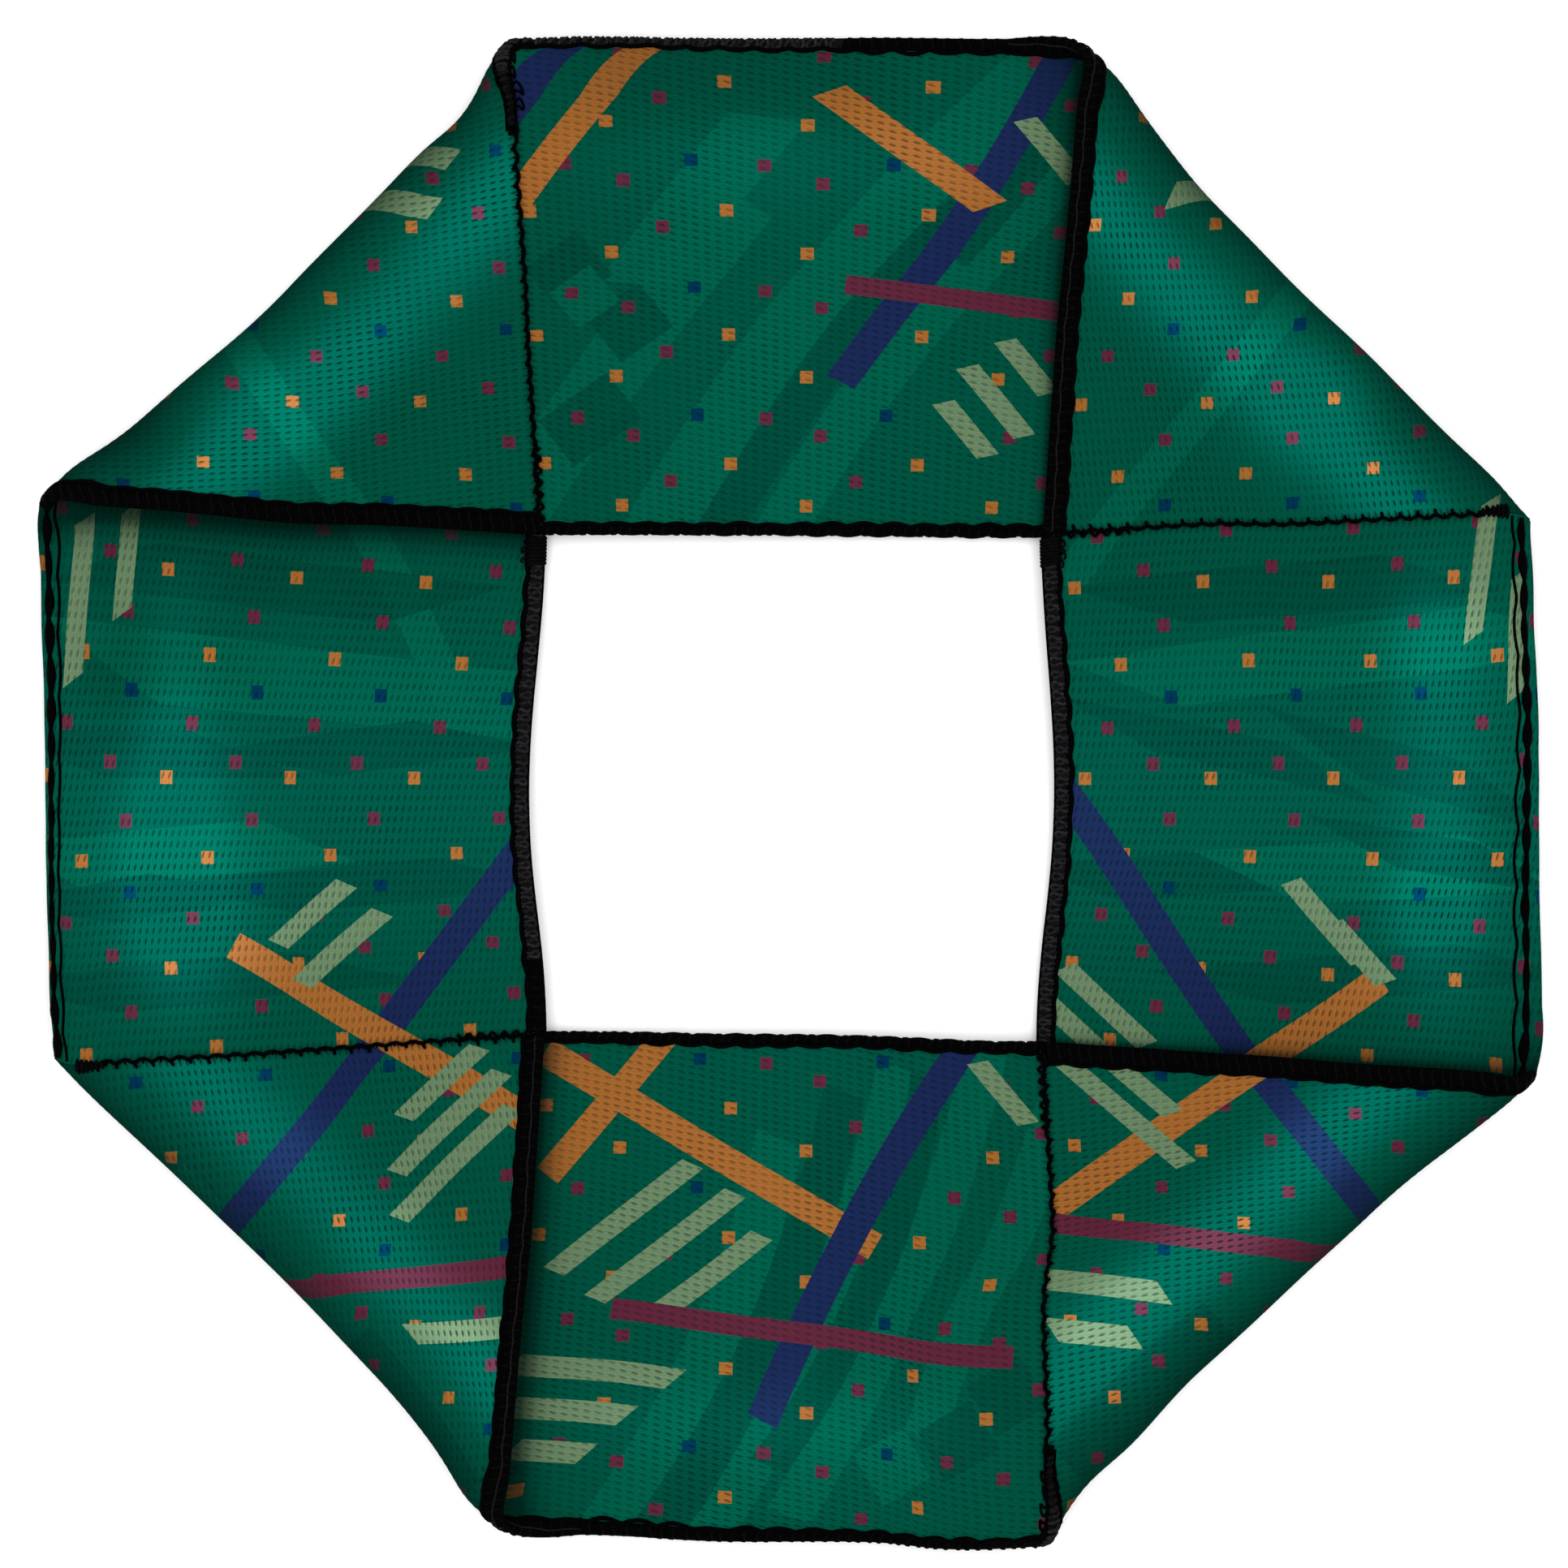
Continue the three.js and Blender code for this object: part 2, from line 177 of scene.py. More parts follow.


# Painted sheen and painted shade on the lying cloth: where it is painted paler than round about, or darker:
# the place, how much, and its reach in millimetres.
PAINTED_LIGHT_SPOTS = [
    ((-77, 56), 0.45, 5), ((-92, 48), -0.12, 6), ((61, 70), 0.15, 6), ((74, 57), 0.75, 6),
    ((45, -80), 0.45, 5), ((92, 20), 0.60, 5), ((92, -17), 0.65, 5), ((-88, -3), 0.30, 7),
    ((-86, -18), 0.85, 7), ((-91, 18), -0.25, 7), ((-67, -58), -0.12, 5), ((-25, 103), -0.13, 7),
    ((-10, 103), -0.13, 7), ((6, 103), -0.13, 7),
]


def nearness(x, y, at, reach):
    """1 at a place, falling away over its reach. The place and the reach are in millimetres."""
    far = (x - at[0] * MM) ** 2 + (y - at[1] * MM) ** 2
    return np.exp(-far / (2 * (reach * MM) ** 2))


def settled(x, y):
    """Where the points of the even ring come to lie."""
    weight, move_x, move_y = LIE_EVEN, 0, 0
    for at, (by_x, by_y) in LIE:
        near = nearness(x, y, at, LIE_REACH)
        weight = weight + near
        move_x = move_x + near * by_x
        move_y = move_y + near * by_y
    x = x + move_x / weight * MM
    y = y + move_y / weight * MM
    tuck_x, tuck_y = 0, 0
    for at, (by_x, by_y), reach in TUCKS:
        near = nearness(x, y, at, reach)
        tuck_x = tuck_x + near * by_x
        tuck_y = tuck_y + near * by_y
    return x + tuck_x * MM, y + tuck_y * MM


# -------- the folded surface

class Side:
    """One panel of the band: the arm along one side of the opening, and the folded corner after it.

    puff is how far the arm's middle rises and bow how far its inner edge bows out. The last three are painted
    light: how strong the painted sheen along its fold is, how far across the arm the painted sheen is
    strongest, and how wide the painted shadow beside its flap is.
    """

    def __init__(self, name, corner, turn, puff, bow, fold_sheen, ridge, flap_shadow_width):
        self.name, self.corner, self.turn = name, corner, turn
        self.puff = puff * MM
        self.bow = bow * MM
        self.fold_sheen = fold_sheen
        self.ridge = ridge * MM
        self.flap_shadow_width = flap_shadow_width * MM
        self.wrinkle = make_noise(100 + turn)
        self.waver = make_noise(200 + turn)

    def across_fold(self, from_fold, along_fold):
        """How far in from the fold a point of the cut lies once folded, and its height."""
        distance = np.abs(from_fold)
        angle = np.clip(from_fold / ROLL_ARC, -1, 1) * math.pi / 2
        inside = ROLL_ARC - ROLL_REACH + ROLL_REACH * (1 - np.cos(angle))
        height = LOWER + ROLL_RISE * (1 + np.sin(angle))
        crest = 2 * ROLL_RISE + CREST_RISE * smooth((distance - ROLL_ARC) / (CREST_AT - ROLL_ARC))
        pressed = smooth((distance - CREST_AT) / (PRESSED_FROM - CREST_AT))
        upper = LOWER + crest * (1 - pressed) + PRESSED_HEIGHT * pressed
        past = distance >= ROLL_ARC
        inside = np.where(past, distance, inside)
        height = np.where(past, np.where(from_fold > 0, upper, LOWER), height)
        near = 1 - smooth(distance / WAVER_REACH)
        waver = self.waver(along_fold / WAVER_LENGTH + 9, np.zeros_like(distance)) - 0.5
        return inside + near * WAVER * waver, height

    def folded(self, along, across):
        """The corner folded back over its arm."""
        from_fold = (along + across - PANEL) / math.sqrt(2)
        inside, height = self.across_fold(from_fold, (along - across) / math.sqrt(2))
        inward = (from_fold + inside) / math.sqrt(2)
        return along - inward, across - inward, height

    def arm_start(self, across):
        """The free end of the corner before this arm, which the arm is sewn to."""
        x, y, z = self.before.folded(np.full_like(across, PANEL), BAND - across)
        return -y, x - BAND, z

    def wrinkles(self, along, across):
        """How far the cloth's small folds and puckers lift it, fading out at both seams."""
        rise, length, width = BROAD_WRINKLE
        broad = rise * self.wrinkle(along / length, across / width)
        rise, length, width = FINE_WRINKLE
        fine = rise * self.wrinkle(along / length + 20, across / width + 20)
        edge = np.minimum(np.abs(across), np.abs(BAND - across))
        wander = self.wrinkle(along / (21 * MM) + 40, across / (60 * MM))
        pucker = 0.5 + 0.5 * np.sin(TURN * along / PUCKER_PITCH + 7 * wander)
        pucker = PUCKER_RISE * pucker * np.exp(-((edge - PUCKER_AT) / PUCKER_WIDTH) ** 2)
        fade = smooth(np.minimum(along, PANEL - along) / SEAM_FADE)
        return (broad + fine + pucker) * fade

    def middle(self, along, across):
        """The middle of the cloth, in the frame of the top side."""
        x, y, z = self.folded(along, across)
        start_x, start_y, start_z = self.arm_start(across)
        share = 1 - smooth(along / BAND)
        x = x + share * start_x
        y = y + share * (start_y - across)
        z = z + share * (start_z - LOWER)
        mid_arm = np.where((along > 0) & (along < BAND), np.sin(math.pi * along / BAND) ** 2, 0)
        hump = np.minimum(smooth(across / (BAND - ARM_CREST)), smooth((BAND - across) / ARM_CREST))
        y = y + self.bow * mid_arm * (1 - across / BAND)
        z = z + self.puff * mid_arm * hump + self.wrinkles(along, across)
        return x - HALF, y + HALF, z

    def surface(self, along, across):
        """The middle of the cloth in the object's frame, spread and settled."""
        x, y, z = self.middle(along, across)
        out_x = np.maximum(0, (x - HALF) / BAND)
        out_y = np.maximum(0, (y - HALF) / BAND)
        side_x = np.clip(x / HALF, -1, 1)
        side_y = np.clip(y / HALF, -1, 1)
        spread_x = x + FLARE * side_x * out_y * (1 - out_x)
        spread_y = y + FLARE * side_y * out_x * (1 - out_y)
        for _ in range(self.turn):
            spread_x, spread_y = spread_y, -spread_x
        return np.stack([*settled(spread_x, spread_y), z], axis=-1)

    def place(self, along, across, lift=0.0):
        """World points of the panel, lifted off the middle of its cloth."""
        along, across = np.broadcast_arrays(np.asarray(along, float), np.asarray(across, float))
        reach = 0.15 * MM
        run = self.surface(along + reach, across) - self.surface(along - reach, across)
        rise = self.surface(along, across + reach) - self.surface(along, across - reach)
        normal = np.cross(run, rise)
        normal /= np.linalg.norm(normal, axis=-1, keepdims=True)
        return self.surface(along, across) + normal * np.asarray(lift)[..., None]


SIDES = [
    Side("top", "top_right", 0, 0.9, 0.0, 1.2, 55.0, 1.5),
    Side("right", "bottom_right", 1, 2.6, 2.0, 1.0, 56.2, 1.5),
    Side("bottom", "bottom_left", 2, 0.9, 0.0, 1.1, 55.0, 3.2),
    Side("left", "top_left", 3, 2.6, 2.0, 1.15, 51.8, 3.6),
]
for i, side in enumerate(SIDES):
    side.before = SIDES[i - 1]
    side.after = SIDES[(i + 1) % 4]


# -------- meshes

def add_to_scene(name, data):
    obj = bpy.data.objects.new(name, data)
    bpy.context.scene.collection.objects.link(obj)
    return obj


class Build:
    """Collects vertices, faces, face corners' UVs and a grey value, and makes one mesh object."""

    def __init__(self):
        self.points, self.faces, self.uvs, self.grey = [], [], [], []
        self.count = 0

    def add(self, points, faces, uv, grey):
        self.points.append(points)
        self.faces.append(np.asarray(faces, int) + self.count)
        self.uvs.append(uv)
        self.grey.append(np.broadcast_to(grey, len(points)).astype(float))
        self.count += len(points)

    def make(self, name, material):
        points = np.concatenate(self.points)
        faces = np.concatenate(self.faces)
        uv = np.concatenate(self.uvs)
        mesh = bpy.data.meshes.new(name)
        mesh.vertices.add(len(points))
        mesh.vertices.foreach_set("co", points.ravel())
        mesh.loops.add(faces.size)
        mesh.loops.foreach_set("vertex_index", faces.ravel())
        mesh.polygons.add(len(faces))
        mesh.polygons.foreach_set("loop_start", np.arange(0, faces.size, 4))
        mesh.update(calc_edges=True)
        layer = mesh.uv_layers.new(name="Flat")
        layer.data.foreach_set("uv", uv[faces.ravel()].ravel())
        # The grey attribute is a thread's charcoal share, or the cloth's painted sheen and painted shade.
        grey = mesh.attributes.new("grey", "FLOAT", "POINT")
        grey.data.foreach_set("value", np.concatenate(self.grey))
        mesh.polygons.foreach_set("use_smooth", np.ones(len(faces), bool))
        mesh.materials.append(material)
        return add_to_scene(name, mesh)


def grid_faces(rows, columns, offset=0, flip=False, wrap=False):
    """The quads of a grid of points, whose last column joins its first if it wraps."""
    last = columns if wrap else columns - 1
    i, j = np.meshgrid(np.arange(rows - 1), np.arange(last), indexing="ij")
    a = i * columns + j
    b = a + columns
    c = (i + 1) * columns + (j + 1) % columns
    d = i * columns + (j + 1) % columns
    quads = np.stack([a, b, c, d], -1).reshape(-1, 4) + offset
    return quads[:, ::-1] if flip else quads


def caps(count, sides):
    """Quads that close both ends of a tube to its two middle points, which follow its rings."""
    j = np.arange(0, sides, 2)
    first = count * sides
    last = first + 1
    base = first - sides
    start = np.stack([np.full_like(j, first), j, (j + 1) % sides, (j + 2) % sides], -1)
    stop = np.stack([np.full_like(j, last), base + (j + 2) % sides, base + (j + 1) % sides, base + j], -1)
    return start, stop


def closed_tube(build, wall, ends, along, turn, grey, reverse=False):
    """Adds a tube's wall, a grid of points, closed to a point at each end. UVs are millimetres and turns."""
    count, sides = wall.shape[:2]
    uv = np.stack(np.broadcast_arrays(along / MM, turn / TURN), -1).reshape(-1, 2)
    faces = np.concatenate([grid_faces(count, sides, wrap=True, flip=True), *caps(count, sides)])
    if reverse:
        faces = faces[:, ::-1]
    points = np.concatenate([wall.reshape(-1, 3), ends])
    build.add(points, faces, np.concatenate([uv, uv[[0, -1]]]), grey)


def thick_tube(build, wall, along, turn, grey, reverse):
    """A closed tube whose end points are the middles of its end rings."""
    closed_tube(build, wall, wall[[0, -1]].mean(axis=1), along, turn, grey, reverse)


def path_normals(tangents):
    """A direction square to each tangent of a path, turning as little as it can."""
    normal = np.cross(tangents[0], [0.0, 0.0, 1.0])
    if np.linalg.norm(normal) < 0.1:
        normal = np.cross(tangents[0], [1.0, 0.0, 0.0])
    normals = np.empty_like(tangents)
    for i, tangent in enumerate(tangents):
        normal = normal - tangent * normal.dot(tangent)
        normal = normal / math.sqrt(normal.dot(normal))
        normals[i] = normal
    return normals


def tube(build, points, radius, grey):
    """A round thread along a path."""
    count = len(points)
    radius = np.broadcast_to(radius, count)
    tangents = np.gradient(points, axis=0)
    tangents /= np.linalg.norm(tangents, axis=1, keepdims=True)
    normals = path_normals(tangents)
    others = np.cross(tangents, normals)
    turn = np.linspace(0, TURN, THREAD_SIDES, endpoint=False)
    ring = normals[:, None] * np.cos(turn)[None, :, None] + others[:, None] * np.sin(turn)[None, :, None]
    wall = points[:, None] + ring * radius[:, None, None]
    steps = np.linalg.norm(np.diff(points, axis=0), axis=1)
    length = np.concatenate([[0], np.cumsum(steps)])
    shades = np.repeat(np.broadcast_to(grey, count), THREAD_SIDES)
    shades = np.concatenate([shades, [0, 0]])
    closed_tube(build, wall, points[[0, -1]], length[:, None], turn[None, :], shades)


def divided(start, stop, step):
    """Even places from start to stop, no further apart than the step."""
    return np.linspace(start, stop, max(2, int(math.ceil((stop - start) / step)) + 1))


# -------- cloth

def bell(distance, width):
    return np.exp(-(distance / width) ** 2)


def painted_spot_light(side, a, c):
    """What the listed places add to the painted sheen and painted shade."""
    x, y = np.moveaxis(side.surface(a, c), -1, 0)[:2]
    total = 0
    for at, amount, reach in PAINTED_LIGHT_SPOTS:
        total = total + amount * nearness(x, y, at, reach)
    return total


def painted_light_level(side, a, c):
    """The painted sheen and painted shade of the cloth, from 0 to 1, as its lower and its upper face show it.
    """
    upper = a + c > PANEL
    fold = np.abs(a + c - PANEL) / math.sqrt(2)
    # Painted sheen in from the fold, and along an arm's ridge.
    crest = bell(fold - SHEEN_AT, SHEEN_WIDTH) * upper
    # Painted shade along the edge of the fold.
    fold_shade = FOLD_SHADE_STRENGTH * bell(fold, FOLD_SHADE_WIDTH)
    mid_arm = np.where(a < BAND, np.sin(math.pi * np.clip(a / BAND, 0, 1)), 0)
    raised = side.puff / FULL_PUFF
    ridge = bell(c - side.ridge, RIDGE_WIDTH) * raised
    patchy = side.wrinkle(a / (26 * MM) + 3, c / (19 * MM) + 5)
    painted_sheen = (crest * side.fold_sheen + mid_arm * ridge * 0.85) * (0.55 + 0.7 * patchy)
    painted_sheen = painted_sheen + mid_arm**2 * 0.3 * raised
    spot_level = painted_spot_light(side, a, c) * (upper | (a < BAND))
    painted_sheen = np.clip(painted_sheen + np.maximum(spot_level, 0), 0, 1)
    sheen_and_shade = UNPAINTED + (1 - UNPAINTED) * painted_sheen + np.minimum(spot_level, 0) - fold_shade
    # Painted shadow: the arm's upper face is painted darkest beside the flap that stands over it, and under
    # the flap.
    painted_flap_shadow = bell(np.maximum(0, BAND + 0.5 * MM - a), side.flap_shadow_width) * ~upper
    # The flap is turned over, so its lower face is seen. The arm's lower face lies on the table, plain.
    return np.where(upper, sheen_and_shade, UNPAINTED - fold_shade), sheen_and_shade - 0.5 * painted_flap_shadow


def cloth_shell(side, material):
    """A closed sheet over the whole cut, with both faces and a wall round its edge."""
    alongs = divided(SEAM_GAP, PANEL - SEAM_GAP, CLOTH_STEP)
    acrosses = divided(EDGE_GAP, BAND - EDGE_GAP, CLOTH_STEP)
    rows, columns = len(alongs), len(acrosses)
    a, c = np.meshgrid(alongs, acrosses, indexing="ij")
    uv = np.stack([a, c], -1).reshape(-1, 2) / PANEL
    count = rows * columns
    grid = np.arange(count).reshape(rows, columns)
    rim = np.concatenate([grid[:-1, 0], grid[-1, :-1], grid[:0:-1, -1], grid[0, :0:-1]])
    after = np.roll(rim, -1)
    wall = np.stack([rim, after, after + count, rim + count], -1)[:, ::-1]
    lower, upper = (side.place(a, c, lift).reshape(-1, 3) for lift in (-CLOTH_HALF, CLOTH_HALF))
    faces = np.concatenate([grid_faces(rows, columns), grid_faces(rows, columns, count, flip=True), wall])
    # The cloth's grey value holds its painted sheen and painted shade.
    grey = np.concatenate([face.ravel() for face in painted_light_level(side, a, c)])
    build = Build()
    build.add(np.concatenate([lower, upper]), faces, np.concatenate([uv, uv]), grey)
    return build.make(f"{side.name}_cloth", material)


# -------- overlocking

def coil(turns):
    """The angle at every point of a thread that goes round some number of times."""
    return np.linspace(0, TURN * turns, turns * 12 + 1)


def value_at(value, along):
    """A length along a run, which may be given as a function of the place."""
    return value(along) if callable(value) else value


class Run:
    """A straight run of overlocking in the flat cut. s is the distance in from the cloth's edge."""

    def __init__(self, side, name, span, edge, inward, width, width_from=None, proud=0.45 * MM, wave=0.0):
        self.side, self.name = side, name
        self.start, self.stop = span
        self.edge, self.inward = edge, inward
        self.full, self.first = width, width_from or width
        self.proud, self.wave = proud, wave

    def width(self, along):
        return self.first + (self.full - self.first) * smooth((along - self.start) / (9 * MM))

    def scallops(self, along, depth):
        uneven = 0.55 + 0.9 * self.side.waver(along / (5.7 * MM), along * 0 + 71 + self.edge / MM)
        return depth * uneven * np.abs(np.sin(math.pi * along / SCALLOP))

    def place(self, along, s, lift):
        return self.side.place(along, self.edge + self.inward * s, lift)

    def band(self, build, half, grey, start, stop, under=False):
        """The mass of thread round the cloth's edge, with scallops where the needle holds it."""
        alongs = divided(start, stop, 0.55 * MM)
        turn = np.linspace(0, TURN, 16, endpoint=False)
        a, t = np.meshgrid(alongs, turn, indexing="ij")
        low = -self.proud - self.scallops(a + SCALLOP / 2, self.wave)
        high = self.width(a) + self.scallops(a, 0.25 * MM)
        cos, sin = np.cos(t), np.sin(t)
        s = (low + high) / 2 + (high - low) / 2 * np.sign(cos) * np.abs(cos) ** 0.7
        uneven = 1 + 0.16 * self.side.waver(a / (1.9 * MM), t * 0 + 31)
        lift = half * np.sign(sin) * np.abs(sin) ** 0.75 * uneven
        if under:
            lift = np.minimum(lift, 0.12 * MM)
        thick_tube(build, self.place(a, s, lift), a, t, grey, reverse=self.inward < 0)

    def line(self, build, s, lift, radius, grey):
        """A thread along the run. s and radius are lengths, or functions of the place along it."""
        a = divided(self.start, self.stop, 0.7 * MM)
        tube(build, self.place(a, value_at(s, a), lift), value_at(radius, a), grey)

    def looper(self, build, half, radius, grey, start, stop, hand=1):
        """Thread wound round the edge by one hand or the other, leaning along the band on each face."""
        start, stop = start + radius, stop - radius
        t = coil(int((stop - start) / LOOP_PITCH))
        jitter = self.side.waver(t / 5.1, t * 0 + 57 + hand) - 0.5
        lean = 0.35 * MM * np.sin(2 * t) + 0.5 * MM * jitter
        a = np.clip(start + LOOP_PITCH * t / TURN + lean, start, stop)
        t = hand * t
        width = self.width(a)
        s = (width - 0.3 * MM) / 2 + (width + 0.3 * MM) / 2 * np.cos(t) * (1 + 0.12 * jitter)
        lift = half * np.sign(np.sin(t)) * np.abs(np.sin(t)) ** 0.6
        tube(build, self.place(a, s, lift), radius, grey)

    def needle_line(self, build, depth, radius):
        """The scalloped line on both faces where the overlocking meets the bare cloth."""
        for face in (-1, 1):
            lift = face * (CLOTH_HALF + 0.14 * MM)
            self.line(build, lambda a: self.width(a) + self.scallops(a, depth), lift, radius, 0.0)


def black_part(build, run, start, stop):
    half = CLOTH_HALF + 0.3 * MM
    run.band(build, half, 0.0, start, stop)
    run.looper(build, half + 0.1 * MM, 0.22 * MM, 0.1, start, stop)


def knitted_part(build, run, start, stop):
    half = CLOTH_HALF + 0.24 * MM
    run.band(build, half, 0.25, start, stop)
    run.looper(build, half + 0.1 * MM, 0.27 * MM, 1.0, start, stop)
    run.looper(build, half + 0.2 * MM, 0.25 * MM, 0.75, start, stop, hand=-1)


def plain_overlock(run, depth, knitted_until=0.0, middle_line=False):
    """Black overlocking, which may start with a charcoal stretch."""
    build = Build()
    if knitted_until:
        knitted_part(build, run, run.start, knitted_until)
    black_part(build, run, knitted_until or run.start, run.stop)
    run.needle_line(build, depth, 0.36 * MM)
    if middle_line:
        height = CLOTH_HALF + 0.5 * MM
        for lift in (-height, height):
            run.line(build, lambda a: 0.3 * run.width(a) + run.scallops(a, 0.2 * MM), lift, 0.15 * MM, 0.5)
    return build


def knitted_overlock(run, black_until=0.0):
    """Charcoal looping between a thin black line at the edge and a scalloped one on the cloth."""
    build = Build()
    if black_until:
        black_part(build, run, run.start, black_until)
    knitted_part(build, run, black_until or run.start, run.stop)
    run.line(build, -0.5 * MM, 0.0, 0.24 * MM, 0.0)
    run.needle_line(build, 0.35 * MM, 0.42 * MM)
    return build


def strip_overlock(run, line_at):
    """Bare cloth to the edge on the upper face, with two lines of stitches on it; the looping lies below."""
    build = Build()
    run.band(build, CLOTH_HALF + 0.5 * MM, 0.0, run.start, run.stop, under=True)

    def first_at(a):
        return line_at + run.scallops(a, 0.15 * MM)

    def first_radius(a):
        return 0.3 * MM + run.scallops(a, 0.42 * MM)

    def second_at(a):
        return line_at + 1.35 * MM + run.scallops(0.6 * a + 2 * MM, 0.45 * MM)

    run.line(build, first_at, CLOTH_HALF, first_radius, 0.0)
    run.line(build, second_at, CLOTH_HALF + 0.05 * MM, 0.22 * MM, 0.0)
    return build


# -------- seams, tails and tacks

def seam_place(side, past, across, up):
    """A point near the seam after a panel's corner: on that panel before it, and on the next arm past it."""
    past, across, up = np.broadcast_arrays(*(np.asarray(v, float) for v in (past, across, up)))
    own = side.place(PANEL + np.minimum(past, 0), across, -up)
    other = side.after.place(np.maximum(past, 0), BAND - across, up)
    share = np.where(past < 0, 0.0, np.where(past > 0, 1.0, 0.5))[..., None]
    return own * (1 - share) + other * share


def seam_bars(build, side, tail):
    """The bars across a seam: long ones towards the panel, and between them short ones towards the arm."""
    rng = np.random.default_rng(40 + side.turn)
    coarse = 1.0 if tail == SHORT_TAIL else 0.62
    t = np.linspace(0, 1, 5)
    up = CLOTH_HALF + 0.16 * MM + 0.15 * MM * np.sin(math.pi * t)
    for i, at in enumerate(np.arange(tail + TICK_STEP, BAND - 1.5 * MM, TICK_STEP / 2)):
        if i % 2 == 0:
            way, radius = -1, 0.24 * MM
            reach = coarse * rng.uniform(0.65, 1.1) * MM
            lean = 0.6 * MM * t * rng.uniform(0.2, 1.0)
        else:
            way, radius = 1, 0.15 * MM
            reach = coarse * rng.uniform(0.3, 0.75) * MM
            lean = 0.1 * MM * t
        past = way * (reach * t - 0.15 * MM) - 0.15 * MM
        tube(build, seam_place(side, past, at + lean, up), radius, 0.0)


def seam_ladder(side, tail, material):
    """A chain of stitches over the butted edges, with short bars across it."""
    build = Build()
    across = divided(tail, BAND + 0.2 * MM, 0.43 * MM)
    sway = 0.5 * MM * np.abs(np.sin(math.pi * (across - tail) / TICK_STEP)) - 0.3 * MM
    for face in (1, -1):
        tube(build, seam_place(side, sway, across, face * (CLOTH_HALF + 0.14 * MM)), 0.29 * MM, 0.0)
    seam_bars(build, side, tail)
    # The end at the opening is sewn over twice, and leaves small loops.
    last = divided(BAND - 12 * MM, BAND - 0.1 * MM, 0.25 * MM)
    zigzag = 0.5 * MM * np.sin(TURN * last / (1.7 * MM)) + 0.3 * MM
    tube(build, seam_place(side, zigzag, last, CLOTH_HALF + 0.35 * MM), 0.26 * MM, 0.0)
    return build.make(f"{side.corner}_ladder", material)


def seam_core(build, side, middle, across, half, lift, sides, grey):
    """A closed core of thread along the end of a seam."""
    turn = np.linspace(0, TURN, sides, endpoint=False)
    c, t = np.meshgrid(across, turn, indexing="ij")
    wall = seam_place(side, middle + half[:, None] * np.cos(t), c, lift * np.sin(t))
    thick_tube(build, wall, c, t, grey, reverse=True)


def sewn_end(side, material):
    """The outer end of a seam, sewn over until it is thick, stopping short of the fold."""
    build = Build()
    middle = -0.2 * MM
    across = divided(5.0 * MM, SHORT_TAIL + 4.0 * MM, 0.4 * MM)
    length = across[-1] - across[0]
    half = (0.95 - 0.6 * smooth((across - across[0]) / length)) * MM
    seam_core(build, side, middle, across, half, CLOTH_HALF + 0.3 * MM, 12, 0.0)
    t = coil(6)
    at = across[0] + 0.2 * MM + (length - 0.4 * MM) * t / t[-1]
    reach = np.interp(at, across, half) + 0.08 * MM
    up = (CLOTH_HALF + 0.34 * MM) * np.sin(t)
    tube(build, seam_place(side, middle + reach * np.cos(t), at, up), 0.24 * MM, 0.1)
    return build.make(f"{side.corner}_sewn_end", material)


def tail_windings(build, side, tail, middle, across, half):
    """Two opposite windings, charcoal at the outside and darker towards the knot."""
    for hand in (1, -1):
        t = coil(int(tail / (1.0 * MM)))
        uneven = side.waver(t / 4.3, t * 0 + 83 + hand) - 0.5
        at = np.clip((tail - 0.3 * MM) * t / t[-1] + 0.7 * MM * uneven, 0, tail - 0.3 * MM)
        reach = np.interp(at, across, half) * (1 + 0.3 * uneven)
        up = (CLOTH_HALF + (0.42 + 0.1 * hand) * MM) * np.sin(t)
        grey = 0.25 + 0.65 * (1 - smooth((at / tail - 0.25) / 0.3))
        tube(build, seam_place(side, middle + reach * np.cos(hand * t), at, up), 0.26 * MM, grey)


def loose_loops(build, side, tail, middle, across, half):
    """Loose black loops along both sides of a tail, longer on the arm's."""
    for way, swing, turns in ((1, 1.0 * MM, 4), (-1, 0.45 * MM, 5)):
        t = np.linspace(0, TURN * turns, turns * 14 + 1)
        at = (0.22 + 0.6 * t / t[-1]) * tail + 0.55 * MM * np.sin(2 * t + way)
        loose = 0.4 + 1.1 * side.waver(t / 5.3, t * 0 + 91 + way)
        past = middle + way * (np.interp(at, across, half) + swing * loose * (0.5 - 0.5 * np.cos(t)))
        tube(build, seam_place(side, past, at, CLOTH_HALF + 0.2 * MM), 0.2 * MM, 0.0)


def tail_edging(build, side):
    """The arm's outer edging, which curves up into the tail."""
    turn = np.linspace(0, math.pi / 2, 10)
    for radius in (2.1 * MM, 1.4 * MM):
        past = 0.6 * MM + radius * (1 - np.sin(turn))
        at = 1.3 * MM + radius * (1 - np.cos(turn))
        tube(build, seam_place(side, past, at, CLOTH_HALF + 0.15 * MM), 0.42 * MM, 0.0)


def tail_knot(build, side, tail):
    t = np.linspace(0, TURN, 40)
    past = -0.2 * MM + 0.55 * MM * np.cos(2 * t)
    at = tail + 0.7 * MM * np.sin(3 * t)
    up = CLOTH_HALF + 0.45 * MM + 0.2 * MM * np.sin(t)
    tube(build, seam_place(side, past, at, up), 0.3 * MM, 0.0)


def serged_tail(side, tail, material):
    """Overlocking that closes the outer end of a seam: a charcoal stretch, loose loops, and a knot."""
    build = Build()
    middle = -0.45 * MM
    across = divided(-0.5 * MM, tail, 0.5 * MM)
    half = (1.15 - 0.6 * smooth((across / tail - 0.1) / 0.6)) * MM
    seam_core(build, side, middle, across, half, CLOTH_HALF + 0.35 * MM, 14, 0.15)
    tail_windings(build, side, tail, middle, across, half)
    loose_loops(build, side, tail, middle, across, half)
    for way in (-1, 1):
        line = seam_place(side, middle + way * (half + 0.12 * MM), across, CLOTH_HALF + 0.2 * MM)
        tube(build, line, 0.25 * MM, 0.0)
    tail_edging(build, side)
    tail_knot(build, side, tail)
    return build.make(f"{side.corner}_serging", material)


